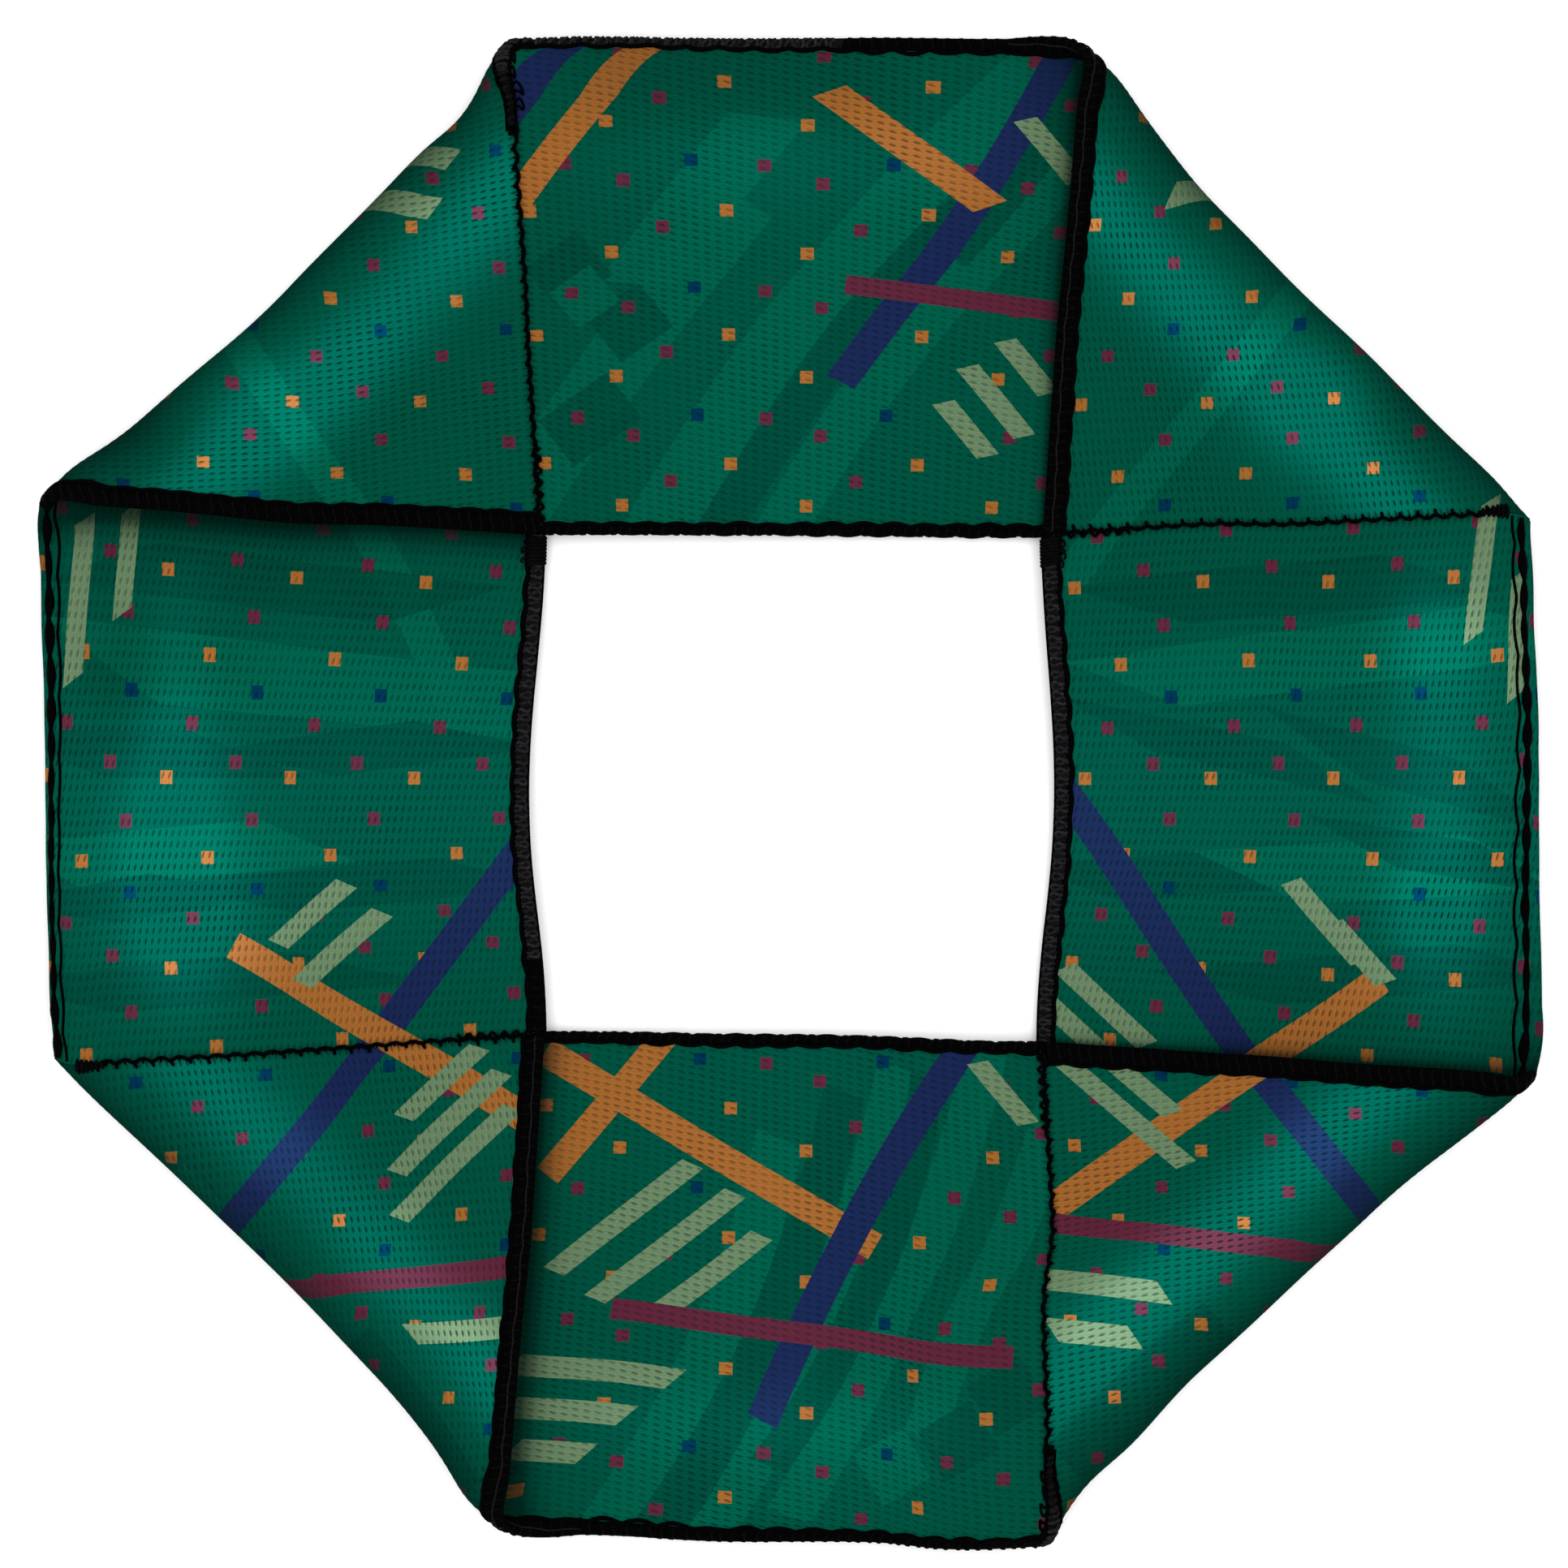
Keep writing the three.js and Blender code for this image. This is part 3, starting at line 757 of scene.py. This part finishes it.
def thread_tack(side, name, along, material):
    """Close turns of thread round the opening's edge, with a small tuft."""
    build = Build()
    t = coil(8)
    a = along + 4 * MM * t / t[-1]
    s = 0.65 * MM + 1.3 * MM * np.cos(t)
    tube(build, side.place(a, s, (CLOTH_HALF + 0.5 * MM) * np.sin(t)), 0.34 * MM, 0.1)
    rng = np.random.default_rng(70 + side.turn)
    t = np.linspace(0, 1, 9)
    up = 0.3 * MM + 0.5 * MM * np.sin(math.pi * t)
    for _ in range(5):
        first = along + rng.uniform(0.5, 3.5) * MM
        last = along + rng.uniform(0, 4.5) * MM
        swing = (1.0 + rng.uniform(0.3, 0.9)) * MM
        s = 0.9 * MM + swing * np.sin(math.pi * t * rng.uniform(0.6, 0.95))
        tube(build, side.place(first + (last - first) * t, s, up), 0.17 * MM, 0.1)
    return build.make(name, material)


# -------- shading

class Shade:
    """Short names for building a material's nodes."""

    def __init__(self, name):
        self.material = bpy.data.materials.new(name)
        self.material.use_nodes = True
        self.nodes = self.material.node_tree.nodes
        self.links = self.material.node_tree.links
        self.nodes.clear()
        self.out = self.nodes.new("ShaderNodeOutputMaterial")
        self.shader = self.nodes.new("ShaderNodeBsdfPrincipled")
        self.links.new(self.shader.outputs[0], self.out.inputs[0])

    def put(self, socket, value):
        """Links a socket to another node's, or sets its value."""
        if isinstance(value, bpy.types.NodeSocket):
            self.links.new(value, socket)
        else:
            socket.default_value = value

    def math(self, operation, a, b=0.0, c=0.0):
        node = self.nodes.new("ShaderNodeMath")
        node.operation = operation
        for socket, value in zip(node.inputs, (a, b, c)):
            self.put(socket, value)
        return node.outputs[0]

    def mix(self, share, a, b, blend="MIX"):
        node = self.nodes.new("ShaderNodeMix")
        node.data_type, node.blend_type = "RGBA", blend
        self.put(node.inputs["Factor"], share)
        self.put(node.inputs[6], a)
        self.put(node.inputs[7], b)
        return node.outputs[2]

    def noise(self, vector, scale, detail=2.0, rough=0.5):
        node = self.nodes.new("ShaderNodeTexNoise")
        self.put(node.inputs["Vector"], vector)
        node.inputs["Scale"].default_value = scale
        node.inputs["Detail"].default_value = detail
        node.inputs["Roughness"].default_value = rough
        return node.outputs["Fac"]

    def spread(self, value, low, high, to_low=0.0, to_high=1.0):
        """Maps low to high onto to_low to to_high, and stops there."""
        node = self.nodes.new("ShaderNodeMapRange")
        for socket, v in zip(node.inputs, (value, low, high, to_low, to_high)):
            self.put(socket, v)
        return node.outputs[0]

    def attribute(self, name):
        node = self.nodes.new("ShaderNodeAttribute")
        node.attribute_name = name
        return node.outputs["Fac"]

    def flat(self, scale):
        """The place on the flat cut or along the thread, in millimetres at the right scale."""
        node = self.nodes.new("ShaderNodeUVMap")
        node.uv_map = "Flat"
        scaled = self.nodes.new("ShaderNodeVectorMath")
        scaled.operation = "SCALE"
        self.put(scaled.inputs[0], node.outputs[0])
        scaled.inputs["Scale"].default_value = scale
        return scaled.outputs[0]

    def split(self, vector):
        node = self.nodes.new("ShaderNodeSeparateXYZ")
        self.put(node.inputs[0], vector)
        return node.outputs[0], node.outputs[1]

    def join(self, x, y):
        node = self.nodes.new("ShaderNodeCombineXYZ")
        self.put(node.inputs[0], x)
        self.put(node.inputs[1], y)
        return node.outputs[0]

    def finish(self, colour, rough, specular, height, depth):
        """Sets the shader's colour, roughness and specular level, and its bump where there is a height."""
        self.put(self.shader.inputs["Base Color"], colour)
        self.shader.inputs["Roughness"].default_value = rough
        self.shader.inputs["Specular IOR Level"].default_value = specular
        if height is not None:
            node = self.nodes.new("ShaderNodeBump")
            node.inputs["Distance"].default_value = depth
            self.put(node.inputs["Height"], height)
            self.put(self.shader.inputs["Normal"], node.outputs[0])
        return self.material

    def bar(self, flat, centre, angle, length, width, slant=0.0, bend=0.0):
        """The mask of a bar. slant shears its ends, and bend bows it, in millimetres over its half length."""
        node = self.nodes.new("ShaderNodeMapping")
        node.vector_type = "TEXTURE"
        self.put(node.inputs["Vector"], flat)
        node.inputs["Location"].default_value = (*centre, 0)
        node.inputs["Rotation"].default_value = (0, 0, math.radians(angle))
        x, y = self.split(node.outputs[0])
        if bend:
            bow = self.math("MULTIPLY", x, x)
            y = self.math("MULTIPLY_ADD", bow, bend * 4 / length**2, y)
        if slant:
            x = self.math("MULTIPLY_ADD", y, slant, x)
        along = self.math("LESS_THAN", self.math("ABSOLUTE", x), length / 2)
        across = self.math("LESS_THAN", self.math("ABSOLUTE", y), width / 2)
        return self.math("MULTIPLY", along, across)

    def lattice(self, x, y, cell, at, half):
        """The mask of one square in every cell of a lattice."""
        far = []
        for value, period, offset in ((x, cell[0], at[0]), (y, cell[1], at[1])):
            moved = self.math("SUBTRACT", value, offset - period / 2)
            wrapped = self.math("FLOORED_MODULO", moved, period)
            far.append(self.math("ABSOLUTE", self.math("SUBTRACT", wrapped, period / 2)))
        return self.math("LESS_THAN", self.math("MAXIMUM", *far), half)


GROUND = linear(0, 84, 65)
LIGHT_TONE = linear(0, 99, 76)
DARK_TONE = linear(0, 73, 57)
ORANGE = linear(172, 106, 46)
BURGUNDY = linear(100, 34, 58)
NAVY = linear(28, 36, 86)
DEEP_NAVY = linear(0, 48, 82)
SAGE = linear(112, 140, 104)

# The small squares: the size of the cell they repeat in, half the width of one, and where they are in it.
CELL = (26.1, 18.4)
SQUARE_HALF = 0.88
SQUARES = [
    (ORANGE, (2.0, 3.0)), (ORANGE, (17.5, 9.0)), (BURGUNDY, (9.0, 6.5)), (BURGUNDY, (22.5, 15.5)),
    (BURGUNDY, (4.0, 13.0)), (DEEP_NAVY, (13.0, 16.0)),
]

TONE_STRENGTH = 0.8
# The four prints, in millimetres from the middle of the opening. The columns run down the whole of the left
# and right sides, corners too. A tone is lightness, centre, angle, length, width, and any slant and bend.
TONES = {
    "top_arm": [
        (1, (-24, 60), 54, 60, 9), (1, (2, 68), 54, 110, 9, 0, 3), (1, (20, 70), 54, 90, 7, 0, 3),
        (0, (11, 69), 54, 96, 6, 0, 3), (1, (-12, 84), 54, 30, 9, 0.6), (0, (30, 92), 54, 36, 8),
        (0, (-30, 74), 35, 9, 8), (0, (-22, 66), 35, 9, 8), (0, (-28, 52), 35, 12, 8),
        (1, (-28, 70), 35, 7, 7),
    ],
    "bottom_arm": [
        (1, (-12, -84), 68, 70, 7, 0, -3), (1, (3, -78), 68, 80, 6, 0, -3),
        (0, (-4, -80), 68, 76, 6, 0, -3), (1, (18, -66), 68, 84, 6, 0, -3),
        (0, (11, -70), 68, 60, 5, 0, -3), (1, (30, -64), 68, 60, 6), (0, (24, -92), 30, 9, 8),
        (0, (31, -86), 30, 8, 8), (1, (14, -96), 30, 9, 8),
    ],
    "right_column": [
        (1, (60, 56), 52, 70, 5), (0, (70, 27), 4, 46, 7, 2.5), (1, (76, 18), 6, 60, 8, 2),
        (0, (60, 6), -12, 34, 5, 3), (0, (88, 3), -14, 30, 6, 3), (0, (58, -11), 5, 40, 6, 2.5),
        (1, (84, -10), 4, 40, 8, 2), (0, (92, -8), -8, 26, 5, 3), (0, (82, -24), 7, 44, 6, 3),
        (1, (72, -80), 42, 60, 9), (0, (50, -86), 42, 30, 8),
    ],
    "left_column": [
        (1, (-64, 40), -58, 70, 5), (0, (-74, 27), -4, 50, 7, -2.5), (1, (-64, 14), -4, 70, 9, 2),
        (0, (-58, 6), 8, 30, 6, 3), (0, (-92, 5), 0, 30, 6, 3), (0, (-60, -13), 4, 40, 6, 3),
        (1, (-88, -8), 4, 40, 7, 2), (0, (-94, -14), 8, 24, 6, 3), (0, (-84, -26), 3, 44, 6, 3),
        (1, (-70, -76), -48, 60, 8), (0, (-52, -90), -48, 30, 8),
    ],
}
# A shape is colour, centre, angle, length, width, and any slant and bend.
SHAPES = {
    "top_arm": [
        (NAVY, (-34, 100), 52, 30, 4.2), (ORANGE, (-27, 96), 52, 44, 3.8),
        (NAVY, (23, 84), 62, 62, 4.3, 0, -2), (ORANGE, (15, 92), -38, 26, 4.0, -0.6),
        (BURGUNDY, (23, 70), -7, 32, 3.0), (SAGE, (32, 60), -50, 10, 2.8, -0.5),
        (SAGE, (28, 55), -50, 13, 2.8, -0.5), (SAGE, (24, 51), -50, 10, 2.8, -0.5),
        (SAGE, (33, 92), -50, 12, 2.8, -0.5),
    ],
    "bottom_arm": [
        (ORANGE, (-12, -52), -30, 54, 4.0), (ORANGE, (-26, -46), 52, 26, 3.8),
        (SAGE, (-23, -62), 40, 24, 2.9, 0.5), (SAGE, (-17, -66), 40, 24, 2.9, 0.5),
        (SAGE, (-11, -70), 40, 18, 2.9, 0.5), (NAVY, (9, -62), 62, 62, 4.3, 0, 2),
        (BURGUNDY, (4, -78), -6, 56, 3.0), (SAGE, (-26, -84), -5, 22, 3.2, -0.8),
        (SAGE, (-29, -90), -5, 16, 3.2, -0.8), (SAGE, (-31, -96), -5, 10, 3.2, -0.8),
        (SAGE, (30, -43), -52, 11, 2.8, -0.5),
    ],
    "right_column": [
        (SAGE, (58, 86), 12, 14, 3.4, -0.6), (SAGE, (99, 29), 82, 18, 2.6, 0.8),
        (SAGE, (104, 20), 86, 16, 2.6, 0.8), (NAVY, (62, -32), -52, 88, 4.3),
        (ORANGE, (60, -42), 36, 60, 4.0), (SAGE, (45, -30), -40, 16, 2.9, -0.5),
        (SAGE, (45, -37), -40, 24, 2.9, -0.5), (SAGE, (46, -44), -40, 26, 2.9, -0.5),
        (SAGE, (76, -17), -44, 15, 2.9, -0.5), (SAGE, (81, -21), -44, 11, 2.9, -0.5),
        (BURGUNDY, (64, -64), -5, 60, 3.0), (SAGE, (44, -71), -5, 18, 3.2, 0.8),
        (SAGE, (43, -78), -5, 12, 3.2, 0.8),
    ],
    "left_column": [
        (SAGE, (-52, 91), -8, 13, 3.4, -0.6), (SAGE, (-56, 84), -8, 15, 3.4, -0.6),
        (SAGE, (-102, 24), 84, 20, 2.8, 0.8), (SAGE, (-95, 29), 84, 14, 2.6, 0.8),
        (NAVY, (-60, -36), 50, 82, 4.3), (ORANGE, (-58, -35), -32, 52, 4.0),
        (SAGE, (-50, -42), 42, 14, 2.9, 0.5), (SAGE, (-48.8, -47.8), 42, 20, 2.9, 0.5),
        (SAGE, (-47.6, -53.6), 42, 22, 2.9, 0.5), (SAGE, (-68, -17), 38, 14, 2.9, 0.5),
        (SAGE, (-64, -22), 38, 16, 2.9, 0.5), (BURGUNDY, (-63, -70), 4, 56, 3.0),
        (SAGE, (-45, -77), 4, 16, 3.2, 0.8),
    ],
}


def printed(shade, plan, x, y):
    """The colour of one print at a place in millimetres from the middle of the opening."""
    place = shade.join(x, y)
    colour = GROUND
    for light, *shape in TONES[plan]:
        tone = LIGHT_TONE if light else DARK_TONE
        colour = shade.mix(shade.math("MULTIPLY", shade.bar(place, *shape), TONE_STRENGTH), colour, tone)
    along, across = (y, x) if "column" in plan else (x, y)
    for tint, at in SQUARES:
        colour = shade.mix(shade.lattice(along, across, CELL, at, SQUARE_HALF), colour, tint)
    for tint, *shape in SHAPES[plan]:
        colour = shade.mix(shade.bar(place, *shape), colour, tint)
    return colour


def turned(shade, x, y, turn):
    """Turns a place from a side's own frame, as the top side lies, into the object's."""
    for _ in range(turn):
        x, y = y, shade.math("MULTIPLY", x, -1.0)
    return x, y


PLANS = {
    "top": ("top_arm", "right_column"), "right": ("right_column", "right_column"),
    "bottom": ("bottom_arm", "left_column"), "left": ("left_column", "left_column"),
}


# Eyelets, in millimetres: the pitch of their rows and of those in a row, how each leans, how each row is
# shifted from the one before, and half the size of one. There are two ribs to each eyelet.
ROW_PITCH = 1.5
EYELET_PITCH = 0.96
EYELET_LEAN = 0.3
ROW_SHIFT = -0.7
EYELET_HALF = (0.44, 0.15)
RIB_PITCH = EYELET_PITCH / 2

# Painted sheen: what the cloth's own colour is multiplied by where sheen is painted, and what is added to
# that.
SHEEN_GAIN = (1.9, 1.9, 1.9, 1)
SHEEN_TINT = (0.0, 0.018, 0.024, 1)
# The colour that painted shade darkens the cloth towards; then the eyelets', ribs' and grain's own darker
# colours, and the thread's.
PAINTED_SHADE = linear(0, 20, 17)
HOLE_DARK = linear(0, 34, 26)
RIB_DARK = linear(0, 48, 38)
GRAIN_DARK = linear(0, 52, 42)
THREAD_BLACK = linear(3, 3, 4)
THREAD_GREY = linear(52, 51, 54)


def whole_print(shade, side, x, y):
    """The print of a panel, from the plan of its arm and, past the fold, that of its corner."""
    half, end = HALF / MM, PANEL / MM
    upper = shade.math("GREATER_THAN", shade.math("ADD", x, y), end)
    arm = turned(shade, shade.math("SUBTRACT", x, half), shade.math("ADD", y, half), side.turn)
    corner_x = shade.math("SUBTRACT", end - half, y)
    corner_y = shade.math("SUBTRACT", end + half, x)
    corner = turned(shade, corner_x, corner_y, side.turn)
    arm_plan, corner_plan = PLANS[side.name]
    return shade.mix(upper, printed(shade, arm_plan, *arm), printed(shade, corner_plan, *corner))


def knit(shade, x, y):
    """The masks of the eyelets and the ribs."""
    row = shade.math("FLOOR", shade.math("DIVIDE", x, ROW_PITCH))
    u = shade.math("SUBTRACT", shade.math("FLOORED_MODULO", x, ROW_PITCH), ROW_PITCH / 2)
    slanted = shade.math("MULTIPLY_ADD", u, EYELET_LEAN, y)
    shifted = shade.math("MULTIPLY_ADD", row, ROW_SHIFT, slanted)
    v = shade.math("SUBTRACT", shade.math("FLOORED_MODULO", shifted, EYELET_PITCH), EYELET_PITCH / 2)
    round_u = shade.math("POWER", shade.math("DIVIDE", u, EYELET_HALF[0]), 2.0)
    round_v = shade.math("POWER", shade.math("DIVIDE", v, EYELET_HALF[1]), 2.0)
    eyelet = shade.spread(shade.math("ADD", round_u, round_v), 0.4, 1.7, 1.0, 0.0)
    rib = shade.math("SINE", shade.math("MULTIPLY", shifted, TURN / RIB_PITCH))
    return eyelet, rib


def cloth_material(side):
    """Knitted athletic mesh: a printed ground, small eyelets in staggered rows, and fine ribs."""
    shade = Shade(f"printed_mesh_{side.name}")
    flat = shade.flat(PANEL / MM)
    x, y = shade.split(flat)
    colour = whole_print(shade, side, x, y)
    eyelet, rib = knit(shade, x, y)
    sheen_and_shade = shade.attribute("grey")
    # Painted sheen and painted shade: paler with wider eyelets where sheen is painted, darker where shade is.
    uneven = shade.spread(shade.noise(flat, 0.07), 0.35, 0.65, 0.18, 0.55)
    open_up = shade.math("ADD", uneven, shade.spread(sheen_and_shade, UNPAINTED, 1.0, 0.0, 0.3))
    hole = shade.math("MULTIPLY", eyelet, open_up)
    # Painted sheen: a paler copy of the cloth's colour, mixed in where the grey attribute is above its plain
    # level.
    bright = shade.mix(1.0, colour, SHEEN_GAIN, "MULTIPLY")
    bright = shade.mix(1.0, bright, SHEEN_TINT, "ADD")
    colour = shade.mix(shade.spread(sheen_and_shade, UNPAINTED, 1.0), colour, bright)
    # Painted shade: darker where the grey attribute is below its plain level.
    colour = shade.mix(shade.spread(sheen_and_shade, UNPAINTED, 0.08, 0.0, 0.8), colour, PAINTED_SHADE)
    colour = shade.mix(hole, colour, HOLE_DARK)
    colour = shade.mix(shade.spread(rib, -1.0, 1.0, 0.16, 0.0), colour, RIB_DARK)
    grain = shade.noise(flat, 2.6, 3.0, 0.6)
    colour = shade.mix(shade.spread(grain, 0.35, 0.75, 0.0, 0.14), colour, GRAIN_DARK)
    height = shade.math("MULTIPLY_ADD", rib, 0.25, shade.math("MULTIPLY", eyelet, -1.0))
    height = shade.math("MULTIPLY_ADD", grain, 0.5, height)
    return shade.finish(colour, 0.85, 0.006, height, 0.12 * MM)


def thread_material():
    """Spun black polyester thread, charcoal where the grey attribute is high, with its own twist."""
    shade = Shade("spun_thread")
    flat = shade.flat(1.0)
    x, y = shade.split(flat)
    speck = shade.noise(flat, 1.7, 3.0, 0.65)
    fuzz = shade.spread(speck, 0.35, 0.7, 0.35, 1.0)
    share = shade.math("MULTIPLY", shade.attribute("grey"), fuzz)
    colour = shade.mix(share, THREAD_BLACK, THREAD_GREY)
    lay = shade.math("MULTIPLY_ADD", y, TURN * 2, shade.math("MULTIPLY", x, 9.0))
    height = shade.math("MULTIPLY_ADD", speck, 0.8, shade.math("SINE", lay))
    return shade.finish(colour, 0.8, 0.012, height, 0.08 * MM)


def floor_material():
    shade = Shade("white_table")
    coords = shade.nodes.new("ShaderNodeTexCoord")
    cloud = shade.noise(coords.outputs["Object"], 3.0)
    colour = shade.mix(cloud, (0.93, 0.93, 0.93, 1), (0.95, 0.95, 0.95, 1))
    return shade.finish(colour, 0.9, 0.1, None, 0.0)


# -------- the gaiter

thread = thread_material()


def keep(obj, node):
    """Puts a piece in the place of its CAD node."""
    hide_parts(node)
    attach(obj, "root")
    return obj


def side_arm_runs(side):
    """The inner and outer edges of the left or right arm."""
    inner = Run(side, "inner_edge", (0.4 * MM, PANEL - 3.2 * MM), 0.0, 1, 1.5 * MM)
    outer = Run(side, "outer_edge", (0.4 * MM, BAND + 1.2 * MM), BAND, -1, 1.9 * MM, proud=-0.5 * MM)
    black_until, line_at = (11 * MM, 1.5 * MM) if side.name == "left" else (0.0, 2.6 * MM)
    return (inner, knitted_overlock(inner, black_until)), (outer, strip_overlock(outer, line_at))


def cross_arm_runs(side):
    """The inner and outer edges of the top or bottom arm."""
    inner = Run(
        side, "inner_edge", (0.4 * MM, PANEL - 3.2 * MM), 0.0, 1, 0.85 * MM, proud=0.25 * MM, wave=0.3 * MM,
    )
    roll_at = BAND - ROLL_ARC * math.sqrt(2)
    outer = Run(side, "outer_edge", (0.4 * MM, roll_at), BAND, -1, 1.5 * MM)
    knitted_until = 42 * MM if side.name == "top" else 0.0
    return (inner, plain_overlock(inner, 0.4 * MM)), (outer, plain_overlock(outer, 0.6 * MM, knitted_until))


def edges_of(side):
    """All three overlocked edges of a panel, each kept in its CAD node's place."""
    upright = side.name in ("right", "left")
    runs = side_arm_runs(side) if upright else cross_arm_runs(side)
    flap_from = runs[1][0].stop - 0.4 * MM
    flap = Run(side, "flap_edge", (flap_from, PANEL - 0.2 * MM), BAND, -1, 2.3 * MM, 1.5 * MM)
    found = []
    for run, build in (*runs, (flap, plain_overlock(flap, 0.3 * MM, middle_line=not upright))):
        obj = build.make(f"{side.name}_{run.name}_thread", thread)
        found.append(keep(obj, f"{side.name}_{run.name}"))
    return found


sheets = {}
for side in SIDES:
    cloth = keep(cloth_shell(side, cloth_material(side)), f"{side.name}_panel")
    parts = edges_of(side)
    tail = TAILS[side.name]
    parts.append(keep(seam_ladder(side, tail, thread), f"{side.corner}_seam"))
    end = serged_tail(side, tail, thread) if tail == LONG_TAIL else sewn_end(side, thread)
    parts.append(keep(end, f"{side.corner}_tail"))
    sheets[side.name] = (cloth, parts)

for side, name, along in ((SIDES[1], "top_right", 0.8 * MM), (SIDES[3], "top_left", BAND - 4.6 * MM)):
    tuft = thread_tack(side, f"{name}_tuft", along, thread)
    sheets[side.name][1].append(keep(tuft, f"{name}_tack"))

for side in SIDES:
    cloth, parts = sheets[side.name]

# -------- studio

FLOOR_HALF = 3.0
FLOOR_AT = -0.5 * MM
LIGHT_HEIGHT = 1.6
LIGHT_SIZE = 1.6
LIGHT_POWER = 19
ROOM_LIGHT = 0.95
LENS = 100
SENSOR = 36
CAMERA_AT = (-0.0011, 0.0013, 0.626)


floor_mesh = bpy.data.meshes.new("floor")
corners = [(x * FLOOR_HALF, y * FLOOR_HALF, 0) for x, y in ((-1, -1), (1, -1), (1, 1), (-1, 1))]
floor_mesh.from_pydata(corners, [], [(0, 1, 2, 3)])
floor_mesh.materials.append(floor_material())
floor = add_to_scene("floor", floor_mesh)
floor.location.z = FLOOR_AT

light = bpy.data.lights.new("overhead", "AREA")
light.shape = "SQUARE"
light.size = LIGHT_SIZE
light.energy = LIGHT_POWER
add_to_scene("overhead", light).location.z = LIGHT_HEIGHT

world = bpy.data.worlds.new("room")
world.use_nodes = True
background = world.node_tree.nodes["Background"]
background.inputs["Color"].default_value = (1, 1, 1, 1)
background.inputs["Strength"].default_value = ROOM_LIGHT
bpy.context.scene.world = world

camera_data = bpy.data.cameras.new("camera")
camera_data.lens = LENS
camera_data.sensor_width = SENSOR
camera = add_to_scene("camera", camera_data)
camera.location = CAMERA_AT
bpy.context.scene.camera = camera
bpy.context.scene.view_settings.view_transform = "Standard"
